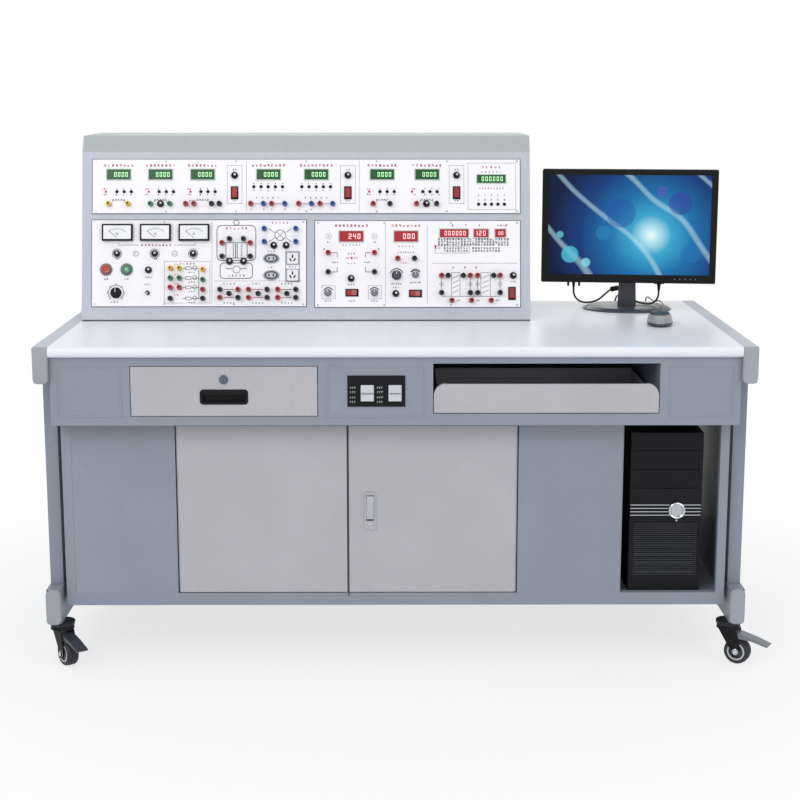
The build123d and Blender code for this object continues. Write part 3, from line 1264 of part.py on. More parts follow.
def mouse():
    """Low crowned body with a rounded nose and a scroll wheel."""
    long, wide, high = MOUSE_SIZE[1], MOUSE_SIZE[0], MOUSE_SIZE[2]
    belt = high * 0.3
    outline = Pos(0, 0, belt) * oval(wide / 2, long / 2, 16)
    body = extrude(outline, belt, dir=(0, 0, -1), taper=10)
    for rise, taper in MOUSE_CROWN:
        body += extrude(body.faces().sort_by(Axis.Z)[-1], rise * high, taper=taper)
    place = Pos(*MOUSE_PLACE, WORKTOP_HEIGHT) * Rot(0, 0, MOUSE_TURN)
    return place * body


# Cords
def lead_path(points):
    """Straight runs joined by arcs that are as large as their two runs allow."""
    vectors = [Vector(*point) for point in points]
    radii = []
    for before, corner, after in zip(vectors, vectors[1:], vectors[2:]):
        turn = math.radians((corner - before).get_angle(after - corner))
        shorter = min((corner - before).length, (after - corner).length)
        radii.append(0.45 * shorter / math.tan(turn / 2))
    return FilletPolyline(*points, radius=radii), radii


def chords(path):
    """Points along a path, with each of its arcs in chords of at most LEAD_CHORD degrees."""
    stations = [path.position_at(0)]
    for edge in path.edges():
        turn = math.degrees(edge.length / edge.radius) if edge.geom_type == GeomType.CIRCLE else 0
        steps = max(1, math.ceil(turn / LEAD_CHORD))
        stations += [edge.position_at(i / steps) for i in range(1, steps + 1)]
    return stations


def lead(name, points, diameter):
    """Mitred tube of one cord, with its length and radii printed."""
    path, radii = lead_path(points)
    start = Plane(origin=points[0], z_dir=Vector(*points[1]) - Vector(*points[0]))
    section = start * RegularPolygon(diameter / 2, 5)
    body = sweep(section, path=Polyline(*chords(path)), transition=Transition.RIGHT)
    print(name, "length", round(path.length), "least radius", round(min(radii), 1))
    return body


def main():
    os.makedirs("parts", exist_ok=True)
    save("worktop", worktop())
    save("side_frames", *side_frames())
    save("end_caps", *end_caps())
    places = [caster_place(name) for name in CASTERS]
    save("caster_plates", *[place * caster_plate() for place in places])
    for name, place in zip(CASTERS, places):
        save("caster_fork_" + name, place * caster_fork())
        save("caster_wheel_" + name, place * caster_wheel())
        save("caster_brake_" + name, place * caster_brake())
    save("apron_case", apron_case())
    save("slide_runners", *slide_runners())
    save("drawer", drawer())
    save("drawer_pull", drawer_pull())
    save("drawer_lock", drawer_lock())
    save("keyboard_tray", keyboard_tray())
    save("switch_plate", switch_plate())
    save("mains_rockers", *mains_rockers())
    save("cabinet_case", cabinet_case())
    save("left_door", *left_door())
    save("right_door", *right_door())
    save("handle_plate", handle_plate())
    save("door_handle", door_handle())
    save("pc_tower", *pc_tower())
    save("pc_button", pc_button())
    save("console_case", console_case())
    boards = (TOP_BOARD, LEFT_BOARD, RIGHT_BOARD)
    save("instrument_boards", *[instrument_board(board) for board in boards])
    save("binding_posts", *binding_posts())
    save("display_modules", *display_modules())
    save("panel_meters", *panel_meters())
    save("panel_fittings", *panel_fittings())
    save("mains_sockets", *mains_sockets())
    save("console_electronics", *console_electronics())
    save("toggle_lever", toggle_lever())
    for name, size in KNOBS.items():
        save(name, knob(*size))
    save("stop_button", push_button(*STOP_BUTTON))
    save("start_button", push_button(*START_BUTTON))
    save("range_keys", *range_keys())
    for name, rocker_spots in rocker_places().items():
        save(name, *[place * rocker(ROCKER_WIDTH, ROCKER_LENGTH) for place in rocker_spots])
    save("monitor_stand", monitor_stand())
    save("monitor_head", *monitor_head())
    save("head_plugs", *head_plugs())
    save("rear_plugs", *rear_plugs())
    save("mouse", mouse())
    save("video_cord", lead("video cord", VIDEO_ROUTE, LEAD_DIAMETER))
    save("monitor_power_cord", lead("monitor power cord", POWER_ROUTE, LEAD_DIAMETER))
    save("mouse_cord", lead("mouse cord", MOUSE_ROUTE, MOUSE_LEAD_DIAMETER))


if __name__ == "__main__":
    main()
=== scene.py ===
"""Dresses the electronics lab trainer for a studio picture, piece by piece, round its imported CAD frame."""

import logging
import math
import random
from dataclasses import dataclass, field
from enum import Enum
from functools import partial

import bmesh
import bpy
from mathutils import Matrix, Vector

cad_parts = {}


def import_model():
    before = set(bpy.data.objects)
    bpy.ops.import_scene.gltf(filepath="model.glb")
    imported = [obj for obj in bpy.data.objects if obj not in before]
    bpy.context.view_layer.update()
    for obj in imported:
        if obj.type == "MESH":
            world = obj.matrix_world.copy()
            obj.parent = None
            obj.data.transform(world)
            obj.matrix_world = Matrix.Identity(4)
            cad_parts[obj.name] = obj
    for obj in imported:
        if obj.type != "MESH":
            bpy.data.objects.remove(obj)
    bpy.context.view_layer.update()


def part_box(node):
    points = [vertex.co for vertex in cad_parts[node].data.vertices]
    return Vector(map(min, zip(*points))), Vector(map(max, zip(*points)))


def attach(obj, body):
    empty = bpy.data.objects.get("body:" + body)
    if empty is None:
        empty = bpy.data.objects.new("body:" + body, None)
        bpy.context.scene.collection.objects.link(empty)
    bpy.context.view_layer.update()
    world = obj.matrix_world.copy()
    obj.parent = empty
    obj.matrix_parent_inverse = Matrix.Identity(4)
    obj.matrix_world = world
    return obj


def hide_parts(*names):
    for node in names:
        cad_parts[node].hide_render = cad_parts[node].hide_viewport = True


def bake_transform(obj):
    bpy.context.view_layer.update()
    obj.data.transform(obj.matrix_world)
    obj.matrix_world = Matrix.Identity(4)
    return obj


LOG = logging.getLogger("lab_trainer")
MM = 0.001
WORKTOP_TOP = 750.0

Mesh = bpy.types.Mesh
Tree = bpy.types.NodeTree
Socket = bpy.types.NodeSocket
Flat = tuple[float, float]
Point = tuple[float, float, float]
Four = tuple[float, float, float, float]


def srgb(code: str) -> tuple[float, float, float, float]:
    """Turns a screen colour to the linear colour that a shader takes.

    Args:
        code: Hex colour such as "#8E96A6".

    Returns:
        Linear red, green, blue and an alpha of 1.
    """
    raw = [int(code[i : i + 2], 16) / 255 for i in (1, 3, 5)]
    red, green, blue = (c / 12.92 if c <= 0.04045 else ((c + 0.055) / 1.055) ** 2.4 for c in raw)
    return red, green, blue, 1.0


def put(tree: Tree, kind: str, values: dict | None = None, **settings: object) -> bpy.types.Node:
    """Adds a node, sets its options, and fills or links its inputs.

    Args:
        tree: Shader or geometry tree that takes the node.
        kind: Blender's type name of the node.
        values: Input name or index to a value, or to the socket that feeds it.
        **settings: Options of the node itself.

    Returns:
        The new node.
    """
    node = tree.nodes.new(kind)
    for key, value in settings.items():
        setattr(node, key, value)
    for key, value in (values or {}).items():
        for one in value if isinstance(value, list) else [value]:
            if isinstance(one, Socket):
                tree.links.new(one, node.inputs[key])
            else:
                node.inputs[key].default_value = one
    return node


def fresh_material(name: str) -> tuple[bpy.types.Material, Tree]:
    """Makes a material with an empty node tree.

    Args:
        name: Name of the material.

    Returns:
        The material and its tree.
    """
    material = bpy.data.materials.new(name)
    material.use_nodes = True
    material.node_tree.nodes.clear()
    return material, material.node_tree


def turning(count: int) -> list[float]:
    """Returns evenly spread angles round a circle, in radians."""
    return [2 * math.pi * i / count for i in range(count)]


# Finishes ---------------------------------------


class Grain(Enum):
    """How a surface was made, which sets the pattern of its grain."""

    POWDER = "powder coat"
    MOULDED = "spark-eroded moulding"
    BRUSHED = "brushed metal"
    LAMINATE = "pressed laminate"
    POLISHED = "polished"


# Brushing runs along X, so its grain is stretched that way
BRUSH_STRETCH = (0.06, 1, 1)
PATCH_MM = 1000 / 6


@dataclass(frozen=True)
class Finish:
    """One real finish: its colour, gloss, grain in millimetres, and how far shade and gloss stray.

    The fine grain gives relief, and the same grain within broad patches gives a faint unevenness of
    colour and gloss. A low mirror keeps matt black plastic black, and glow is for lit parts.
    """

    name: str
    colour: str
    roughness: float
    ior: float = 1.5
    metallic: float = 0.0
    grain: Grain = Grain.MOULDED
    grain_mm: float = 4.0
    relief: float = 0.12
    shade: float = 0.05
    mirror: float = 0.5
    glow: float = 0.0

    def build(self) -> bpy.types.Material:
        """Builds the finish's material on first use.

        Returns:
            The material, shared by every piece of this finish.
        """
        known = bpy.data.materials.get(self.name)
        if known:
            return known
        material, tree = fresh_material(self.name)
        place = put(tree, "ShaderNodeTexCoord").outputs["Object"]
        if self.grain is Grain.BRUSHED:
            place = put(tree, "ShaderNodeMapping", {"Vector": place, "Scale": BRUSH_STRETCH}).outputs[0]
        grain = {"Vector": place, "Scale": 1 / (self.grain_mm * MM), "Detail": 3}
        fine = put(tree, "ShaderNodeTexNoise", grain).outputs["Fac"]
        patches = {"Vector": place, "Scale": 1 / (PATCH_MM * MM), "Detail": 2}
        broad = put(tree, "ShaderNodeTexNoise", patches).outputs["Fac"]
        mottle = put(tree, "ShaderNodeMath", {0: broad, 1: fine}, operation="MULTIPLY").outputs[0]
        main = srgb(self.colour)
        dark = tuple(c * (1 - 2.4 * self.shade) for c in main[:3]) + (1,)
        light = tuple(min(1, c * (1 + 1.2 * self.shade)) for c in main[:3]) + (1,)
        part = put(tree, "ShaderNodeMapRange", {"Value": mottle, "From Min": 0.08, "From Max": 0.45}).outputs[0]
        tint = put(tree, "ShaderNodeMix", {0: part, 6: dark, 7: light}, data_type="RGBA").outputs[2]
        low, high = self.roughness - self.shade, self.roughness + self.shade
        spread = {"Value": broad, "From Min": 0.3, "From Max": 0.7, "To Min": low, "To Max": high}
        gloss = put(tree, "ShaderNodeMapRange", spread).outputs[0]
        values = {
            "Base Color": tint, "Roughness": gloss, "IOR": self.ior, "Metallic": self.metallic,
            "Specular IOR Level": self.mirror,
        }  # fmt: skip
        if self.relief > 0:
            bump = {"Height": fine, "Strength": self.relief, "Distance": 0.25 * self.grain_mm * MM}
            values["Normal"] = put(tree, "ShaderNodeBump", bump).outputs[0]
        if self.glow > 0:
            values["Emission Color"] = main
            values["Emission Strength"] = self.glow
        shader = put(tree, "ShaderNodeBsdfPrincipled", values)
        put(tree, "ShaderNodeOutputMaterial", {"Surface": shader.outputs[0]})
        return material


# Powder coat over steel gives a dull sheen with a faint orange-peel; its 1 mm peel is drawn at 5 mm to show.
powder_coat = partial(Finish, grain=Grain.POWDER, grain_mm=5.0, relief=0.08, shade=0.035)
APRON_PAINT = powder_coat("powder_coat_blue_grey", "#8B93A0", 0.46)
# Two copies of one frame paint: the darker is painted shade on the posts and rail sides, the lighter is painted light
# on the upper faces of the rails.
SHADED_POST_COAT = powder_coat("powder_coat_grey_blue", "#868F9B", 0.46)
LIT_RAIL_TOP_COAT = powder_coat("powder_coat_light_grey_blue", "#B8BEC8", 0.45)
DOOR_PAINT = powder_coat("powder_coat_warm_grey", "#B5B4B8", 0.48)
FACE_PAINT = powder_coat("powder_coat_silver_grey", "#BBC0CA", 0.42)
HOOD_PAINT = powder_coat("powder_coat_grey_green", "#A9AFB0", 0.5)
# Anodised and lacquered aluminium boards are near white and even, and take the print.
BOARD_LACQUER = powder_coat("lacquered_board_white", "#F6F4F7", 0.42, grain_mm=6.0, relief=0.03, shade=0.012)
# High-pressure laminate is a hard, smooth, pale sheet.
WORKTOP_LAMINATE = Finish(
    "laminate_pearl_white", "#E8EBF1", 0.32, grain=Grain.LAMINATE, grain_mm=7.0, relief=0.0, shade=0.006
)
# Moulded ABS takes the fine spark-eroded texture of its tool, which dulls it; its 0.3 mm grain is drawn at 3 mm.
moulded = partial(Finish, grain_mm=3)
CAP_PLASTIC = moulded("polypropylene_pale_grey", "#9DA1AA", 0.5)
BLACK_ABS = moulded("abs_black_matt", "#101114", 0.5, ior=1.46, mirror=0.2)
DARK_GREY = moulded("abs_dark_grey", "#3A3D44", 0.36)
MID_GREY = moulded("abs_mid_grey", "#777A82", 0.36)
MOUSE_GREY = moulded("abs_silver_grey", "#989BA2", 0.34)
STAND_GREY = moulded("abs_satin_graphite", "#363940", 0.3)
PALE_GREY = moulded("abs_pale_grey", "#C9CBD0", 0.4)
WHITE_ABS = moulded("abs_white", "#ECECEE", 0.33, shade=0.02)
BEZEL_RIM = moulded("display_rim_pale", "#CBD2C8", 0.4)
TYRE_RUBBER = Finish("moulded_rubber_black", "#202124", 0.62, ior=1.52, relief=0.2)
LEAD_SHEATH = Finish("pvc_sheath_black", "#1C1D20", 0.4, ior=1.53, relief=0.1)
DARK_INSIDE = Finish("phenolic_brown_green", "#3F4A3E", 0.6)
# Glass-filled polyamide terminals are deep in colour, with a soft highlight.
polyamide = partial(Finish, ior=1.53, grain_mm=2)
BLUE_PLASTIC = polyamide("polyamide_blue", "#24539A", 0.35)
YELLOW_PLASTIC = polyamide("polyamide_yellow", "#E0B435", 0.35)
TERMINAL_BLACK = polyamide("polyamide_black", "#111215", 0.32, mirror=0.3)
# Clear or polished mouldings and flat layers have no grain; polycarbonate adds a hard bright highlight.
polished = partial(Finish, grain=Grain.POLISHED, relief=0.0)
polycarbonate = partial(polished, ior=1.58)
BLACK_GLOSS = polished("abs_black_gloss", "#0B0C10", 0.2, ior=1.46, mirror=0.22)
RED_PLASTIC = polycarbonate("polycarbonate_red", "#A61A26", 0.25)
RED_LIT = polycarbonate("polycarbonate_red_lit", "#C4262F", 0.22, glow=0.05)
ROCKER_RED = polycarbonate("polycarbonate_deep_red", "#97121D", 0.25)
GREEN_LENS = polycarbonate("polycarbonate_pale_green", "#7FC79F", 0.25)
GREEN_PLASTIC = polycarbonate("polycarbonate_green", "#0F6E45", 0.25)
GREEN_WINDOW = polished("display_filter_green", "#0B4A22", 0.3, ior=1.46, glow=0.1)
RED_WINDOW = polished("display_filter_red", "#9A1A24", 0.3, ior=1.46, glow=0.12)
GREEN_DIGIT = polished("lit_digit_green", "#B9F2B4", 0.3, glow=0.75)
PINK_DIGIT = polished("lit_digit_pink", "#FFC9CF", 0.3, glow=0.85)
# Screen-printing ink lies flat and dull, and so does the dark gap colour, which is painted shadow in the seams round
# the boards, under the console's edge, between the doors and in the louvre slots.
INK_RED = polished("screen_ink_red", "#A02533", 0.6)
INK_BLACK = polished("screen_ink_black", "#191A20", 0.6)
INK_GREY = polished("screen_ink_grey", "#6E717C", 0.6)
PAINTED_GAP_SHADOW = polished("seam_shadow_rubber", "#3A3D44", 0.7)
# Plated and brushed metal catches the lamps in a streak, and polished plating mirrors them.
brushed = partial(Finish, metallic=1.0, grain=Grain.BRUSHED, grain_mm=2.0, relief=0.1)
STEEL = brushed("zinc_plated_steel", "#B9BCC2", 0.3)
DARK_ZINC = brushed("black_passivated_zinc", "#3C3F46", 0.38)
HANDLE_NICKEL = brushed("satin_nickel_casting", "#B4B5BA", 0.34, relief=0.08)
CHROME = polished("chrome_plate", "#C9CCD1", 0.12, metallic=1.0)
LOCK_NICKEL = polished("dulled_nickel_plate", "#6C7885", 0.3, metallic=1.0)


# Frames of the object, in millimetres -----------

LEAN = math.radians(12.5)
FACE_FOOT = 14.0
# Across, up the slope and out of the leaning console face, with its origin on the worktop
FACE = Matrix(
    (
        (1, 0, 0, 0),
        (0, math.sin(LEAN), -math.cos(LEAN), FACE_FOOT),
        (0, math.cos(LEAN), math.sin(LEAN), WORKTOP_TOP),
        (0, 0, 0, 1),
    )
)
# The monitor stands here, turned a little to the user
STAND = Matrix.Translation((597, 240, 0)) @ Matrix.Rotation(math.radians(-7), 4, "Z")
UPRIGHT = Matrix.Identity(4)
# Local X across, local Y up, local Z towards the viewer, for parts on the upright fronts
FRONTAL = Matrix.Rotation(math.radians(90), 4, "X")
# Front of the boards, out of the console face
BOARD = 3.0


# Mesh work --------------------------------------


def smooth(mesh: Mesh, degrees: float = 34.0) -> Mesh:
    """Shades a mesh smooth except across its sharp edges.

    Args:
        mesh: Mesh to shade.
        degrees: Angle from which an edge is sharp.

    Returns:
        The same mesh.
    """
    mesh.polygons.foreach_set("use_smooth", [True] * len(mesh.polygons))
    mesh.set_sharp_from_angle(angle=math.radians(degrees))
    mesh.update()
    return mesh


class Form:
    """Closed solids gathered in one mesh. Sizes are in millimetres in the frame of its place."""

    def __init__(self, place: Matrix = UPRIGHT) -> None:
        """Starts an empty form.

        Args:
            place: Turns the form's own frame to the object's, in millimetres.
        """
        self.place = place
        self.work = bmesh.new()

    def skin(self, rings: list[list[Point]], close: bool = False) -> None:
        """Joins rings of points to a closed solid.

        Args:
            rings: Loops with the same number of points.
            close: Joins the last ring to the first one instead of adding end faces.
        """
        rows = [[self.work.verts.new(point) for point in ring] for ring in rings]
        pairs = list(zip(rows, rows[1:] + rows[:1] if close else rows[1:]))
        for one, two in pairs:
            for i in range(len(one)):
                j = (i + 1) % len(one)
                self.work.faces.new((one[i], one[j], two[j], two[i]))
        if not close:
            self.work.faces.new(list(reversed(rows[0])))
            self.work.faces.new(rows[-1])

    def box(self, low: Point, high: Point) -> None:
        """Adds a box between its lowest and highest corner."""
        base = [(low[0], low[1]), (high[0], low[1]), (high[0], high[1]), (low[0], high[1])]
        self.skin([[(x, y, z) for x, y in base] for z in (low[2], high[2])])

    def prism(self, outline: list[Flat], low: float, high: float, edge: float = 0.0) -> None:
        """Adds an outline in X and Y pushed along Z.

        Args:
            outline: Corners, anticlockwise.
            low: Lower height.
            high: Upper height.
            edge: Width of the eased upper edge.
        """
        rings = [[(x, y, low) for x, y in outline]]
        if edge:
            spans = [(min(values), max(values)) for values in zip(*outline)]
            (mid_x, half_x), (mid_y, half_y) = [((low + high) / 2, (high - low) / 2) for low, high in spans]
            slim_x, slim_y = 1 - edge / half_x, 1 - edge / half_y
            rings.append([(x, y, high - edge) for x, y in outline])
            rings.append([(mid_x + (x - mid_x) * slim_x, mid_y + (y - mid_y) * slim_y, high) for x, y in outline])
        else:
            rings.append([(x, y, high) for x, y in outline])
        self.skin(rings)

    def turned(self, centre: Flat, profile: list[Flat], sides: int = 28) -> None:
        """Adds a turned solid about Z through a centre.

        Args:
            centre: Place of the axis.
            profile: Radius and height from the foot upwards; the first and last are closed by discs.
            sides: Facets round the axis.
        """
        x, y = centre
        steps = turning(sides)
        self.skin([[(x + r * math.cos(a), y + r * math.sin(a), height) for a in steps] for r, height in profile])

    def ring(self, centre: Flat, profile: list[Flat], sides: int = 32) -> None:
        """Adds a turned ring about Z through a centre.

        Args:
            centre: Place of the axis.
            profile: Closed loop of radius and height that stays clear of the axis.
            sides: Facets round the axis.
        """
        x, y = centre
        loops = [[(x + r * math.cos(a), y + r * math.sin(a), height) for r, height in profile] for a in turning(sides)]
        self.skin(loops, close=True)

    def stroke(self, start: Flat, end: Flat, width: float, low: float, high: float) -> None:
        """Adds a straight flat bar.

        Args:
            start: Middle of its first end.
            end: Middle of its other end.
            width: Width across.
            low: Lower height.
            high: Upper height.
        """
        one, two = Vector(start), Vector(end)
        across = Vector((one.y - two.y, two.x - one.x)).normalized() * (width / 2)
        corners = (one - across, two - across, two + across, one + across)
        self.prism([tuple(corner) for corner in corners], low, high)

    def oval(self, centre: Flat, stack: list[Point]) -> None:
        """Adds an oval solid.

        Args:
            centre: Place of its middle.
            stack: Half width, half height and Z of each ring, from the foot upwards.
        """
        x, y = centre
        self.skin([[(x + a * math.cos(t), y + b * math.sin(t), z) for t in turning(40)] for a, b, z in stack])

    def mesh(self, name: str) -> Mesh:
        """Ends the form.

        Args:
            name: Name of the mesh.

        Returns:
            The mesh in metres in the object's frame, with its faces outwards and shaded.
        """
        bmesh.ops.recalc_face_normals(self.work, faces=self.work.faces)
        made = bpy.data.meshes.new(name)
        self.work.to_mesh(made)
        self.work.free()
        made.transform(Matrix.Scale(MM, 4) @ self.place)
        return smooth(made)

    def ride(self, name: str, body: str, finish: Finish, slot: str, replaces: tuple[str, ...] = ()) -> None:
        """Ends the form and places it as a piece; the arguments are those of piece()."""
        piece(name, self.mesh(name), body, finish, replaces)


def rounded_outline(low: Flat, high: Flat, radii: Four, steps: int = 5) -> list[Flat]:
    """Draws a rectangle with its own radius on each corner.

    Args:
        low: Lower left corner.
        high: Upper right corner.
        radii: Radius of each corner, from the lower left one anticlockwise.
        steps: Facets of each rounded corner.

    Returns:
        Its points, anticlockwise.
    """
    corners = [
        (low[0] + radii[0], low[1] + radii[0], radii[0], 180),
        (high[0] - radii[1], low[1] + radii[1], radii[1], 270),
        (high[0] - radii[2], high[1] - radii[2], radii[2], 0),
        (low[0] + radii[3], high[1] - radii[3], radii[3], 90),
    ]
    points = []
    for x, y, radius, start in corners:
        count = steps if radius > 0 else 0
        for i in range(count + 1):
            angle = math.radians(start + (90 * i / count if count else 0))
            points.append((x + radius * math.cos(angle), y + radius * math.sin(angle)))
    return points


def piece(
    name: str,
    mesh: Mesh,
    body: str,
    finish: Finish | None,
    replaces: tuple[str, ...] = (),
    bevel: float = 0.0,
) -> bpy.types.Object:
    """Places a mesh as a piece that rides on a body.

    Args:
        name: Name of the piece.
        mesh: Mesh in metres, in the object's frame.
        body: CAD body that carries it.
        finish: Finish, or None where the mesh has its material already.
        replaces: CAD nodes that it stands for.
        bevel: Width of its eased edges in millimetres.

    Returns:
        The new object.
    """
    thing = bpy.data.objects.new(name, mesh)
    bpy.context.scene.collection.objects.link(thing)
    if finish:
        mesh.materials.clear()
        mesh.materials.append(finish.build())
    if bevel:
        ease = thing.modifiers.new("eased_edges", "BEVEL")
        ease.width = bevel * MM
        ease.segments = 2
        ease.limit_method = "ANGLE"
        ease.angle_limit = math.radians(32)
        ease.harden_normals = True
    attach(thing, body)
    if replaces:
        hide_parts(*replaces)
    LOG.info("%s rides on %s", name, body)
    return thing


def refined(node: str, body: str, finish: Finish, bevel: float = 0.6) -> bpy.types.Object:
    """Replaces a CAD node by its own shape with welded faces, eased edges and its finish.

    Args:
        node: CAD node to copy.
        body: CAD body that carries it.
        finish: Finish of the piece.
        bevel: Width of the eased edges in millimetres.

    Returns:
        The new object.
    """
    work = bmesh.new()
    work.from_mesh(bpy.data.objects[node].data)
    bmesh.ops.remove_doubles(work, verts=work.verts, dist=1e-6)
    bmesh.ops.dissolve_limit(work, angle_limit=math.radians(1), verts=work.verts, edges=work.edges)
    mesh = bpy.data.meshes.new(node + "_dressed")
    work.to_mesh(mesh)
    work.free()
    return piece(node + "_dressed", smooth(mesh), body, finish, (node,), bevel)


# Patterns of repeated shapes --------------------


class Pattern:
    """Geometry tree with named sizes, which turns points or lines to repeated closed shapes."""

    def __init__(self, name: str, sizes: dict[str, float | int]) -> None:
        """Starts the tree.

        Args:
            name: Name of the tree.
            sizes: Named sizes, lengths in metres, whole numbers for counts.
        """
        self.tree = bpy.data.node_groups.new(name, "GeometryNodeTree")
        face = self.tree.interface
        face.new_socket("Geometry", in_out="INPUT", socket_type="NodeSocketGeometry")
        for key, value in sizes.items():
            kind = "NodeSocketInt" if isinstance(value, int) else "NodeSocketFloat"
            face.new_socket(key, in_out="INPUT", socket_type=kind).default_value = value
        face.new_socket("Finish", in_out="INPUT", socket_type="NodeSocketMaterial")
        face.new_socket("Geometry", in_out="OUTPUT", socket_type="NodeSocketGeometry")
        self.inlet = put(self.tree, "NodeGroupInput").outputs

    def cuboid(self, *sides: Socket) -> Socket:
        """Returns a box about the origin with its length, width and height linked."""
        size = put(self.tree, "ShaderNodeCombineXYZ", dict(enumerate(sides))).outputs[0]
        return put(self.tree, "GeometryNodeMeshCube", {"Size": size}).outputs["Mesh"]

    def close(self, points: Socket, shape: Socket, **links: Socket) -> "Pattern":
        """Sets a shape on every point, gives the shapes their finish and ends the tree.

        Args:
            points: Where the shapes stand.
            shape: Shape on each point.
            **links: Further inputs of the node that sets them, such as their rotation.

        Returns:
            The pattern itself.
        """
        values = {"Points": points, "Instance": shape, **links}
        shapes = put(self.tree, "GeometryNodeInstanceOnPoints", values).outputs[0]
        real = put(self.tree, "GeometryNodeRealizeInstances", {"Geometry": shapes}).outputs[0]
        done = put(self.tree, "GeometryNodeSetMaterial", {"Geometry": real, "Material": self.inlet["Finish"]})
        put(self.tree, "NodeGroupOutput", {"Geometry": done.outputs[0]})
        return self

    def grow(self, name: str, seed: Mesh, finish: Finish, place: Matrix, **sizes: float) -> Mesh:
        """Runs the tree on a seed mesh and returns a plain mesh.

        Args:
            name: Name of the mesh.
            seed: Points or edges in metres, in the frame of the place.
            finish: Finish of the shapes.
            place: Frame of the seed, in millimetres.
            **sizes: Input names, with underscores for spaces, to millimetres or counts.

        Returns:
            The mesh in the object's frame.
        """
        carrier = bpy.data.objects.new(name + "_seed", seed)
        bpy.context.scene.collection.objects.link(carrier)
        modifier = carrier.modifiers.new("pattern", "NODES")
        modifier.node_group = self.tree
        for item in self.tree.interface.items_tree:
            key = item.name.replace(" ", "_")
            if item.in_out == "INPUT" and key in sizes:
                whole = item.socket_type == "NodeSocketInt"
                modifier[item.identifier] = int(sizes[key]) if whole else sizes[key] * MM
            if item.in_out == "INPUT" and item.name == "Finish":
                modifier[item.identifier] = finish.build()
        graph = bpy.context.evaluated_depsgraph_get()
        mesh = bpy.data.meshes.new_from_object(carrier.evaluated_get(graph))
        mesh.name = name
        carrier.modifiers.remove(modifier)
        bpy.data.objects.remove(carrier)
        origin = place.copy()
        origin.translation = place.translation * MM
        mesh.transform(origin)
        return smooth(mesh)

    def ride(
        self,
        name: str,
        body: str,
        finish: Finish,
        slot: str,
        seed: Mesh,
        place: Matrix = FACE,
        replaces: tuple[str, ...] = (),
        **sizes: float,
    ) -> None:
        """Grows the pattern as a piece; the arguments are those of piece() and grow()."""
        piece(name, self.grow(name, seed, finish, place, **sizes), body, None, replaces)


def points_mesh(points: list[Point]) -> Mesh:
    """Makes a mesh of bare points.

    Args:
        points: Places in millimetres.

    Returns:
        The mesh in metres.
    """
    mesh = bpy.data.meshes.new("points")
    mesh.from_pydata([tuple(c * MM for c in point) for point in points], [], [])
    return mesh


def spots_mesh(spots: list[Flat] | tuple[Flat, ...], height: float = BOARD) -> Mesh:
    """Returns points_mesh() of places on the console face, at one height over it."""
    return points_mesh([(x, s, height) for x, s in spots])


def lines_mesh(lines: list[list[Point]]) -> Mesh:
    """Makes a mesh of open polylines.

    Args:
        lines: Points of each line in millimetres.

    Returns:
        The mesh in metres.
    """
    spots, edges = [], []
    for line in lines:
        first = len(spots)
        spots += [tuple(c * MM for c in point) for point in line]
        edges += [(first + i, first + i + 1) for i in range(len(line) - 1)]
    mesh = bpy.data.meshes.new("lines")
    mesh.from_pydata(spots, edges, [])
    return mesh


def stud_pattern() -> Pattern:
    """Makes turned studs of a collar, a tapering body and an eased tip, one on each point.

    Returns:
        The pattern, whose sizes stud_sizes() names.
    """
    sizes = {
        "Collar Radius": 0.006, "Collar Height": 0.002, "Body Radius": 0.006, "Body Height": 0.01,
        "Top Radius": 0.005, "Ease": 0.001, "Sides": 18,
    }  # fmt: skip
    made = Pattern("turned_studs", sizes)
    tree, size = made.tree, made.inlet
    heights = {0: size["Collar Height"], 1: size["Body Height"]}
    body_top = put(tree, "ShaderNodeMath", heights, operation="ADD").outputs[0]
    eased = put(tree, "ShaderNodeMath", {0: size["Top Radius"], 1: size["Ease"]}, operation="SUBTRACT").outputs[0]
    stack = [
        (size["Collar Radius"], size["Collar Radius"], size["Collar Height"], 0),
        (size["Body Radius"], size["Top Radius"], size["Body Height"], size["Collar Height"]),
        (size["Top Radius"], eased, size["Ease"], body_top),
    ]
    parts = []
    for low, high, depth, lift in stack:
        values = {"Vertices": size["Sides"], "Radius Bottom": low, "Radius Top": high, "Depth": depth}
        cone = put(tree, "GeometryNodeMeshCone", values).outputs["Mesh"]
        shift = put(tree, "ShaderNodeCombineXYZ", {2: lift}).outputs[0]
        parts.append(put(tree, "GeometryNodeTransform", {"Geometry": cone, "Translation": shift}).outputs[0])
    joined = put(tree, "GeometryNodeJoinGeometry", {"Geometry": parts}).outputs[0]
    return made.close(size["Geometry"], joined)


def stud_sizes(collar: Flat, body: Flat, top: float, ease: float, sides: int) -> dict[str, float]:
    """Names the sizes of a stud in millimetres.

    Args:
        collar: Radius and height of the collar.
        body: Radius and height of the body.
        top: Radius of the body's upper end.
        ease: Height and width of the eased tip.
        sides: Facets round the stud.

    Returns:
        The sizes as Pattern.grow() takes them.
    """
    return {
        "Collar_Radius": collar[0], "Collar_Height": collar[1], "Body_Radius": body[0], "Body_Height": body[1],
        "Top_Radius": top, "Ease": ease, "Sides": sides,
    }  # fmt: skip


def dash_pattern() -> Pattern:
    """Makes flat bars set along lines, with the bar's length along the line.

    Returns:
        The pattern, with the sizes Step, Dash, Width and Thickness.
    """
    made = Pattern("printed_dashes", {"Step": 0.004, "Dash": 0.002, "Width": 0.0006, "Thickness": 0.0002})
    tree, size = made.tree, made.inlet
    curve = put(tree, "GeometryNodeMeshToCurve", {"Mesh": size["Geometry"]}).outputs[0]
    spaced = put(tree, "GeometryNodeResampleCurve", {"Curve": curve, "Length": size["Step"]}, mode="LENGTH").outputs[0]
    along = put(tree, "GeometryNodeInputTangent").outputs[0]
    turn = put(tree, "FunctionNodeAlignRotationToVector", {"Vector": along}, axis="X").outputs[0]
    return made.close(spaced, made.cuboid(size["Dash"], size["Width"], size["Thickness"]), Rotation=turn)


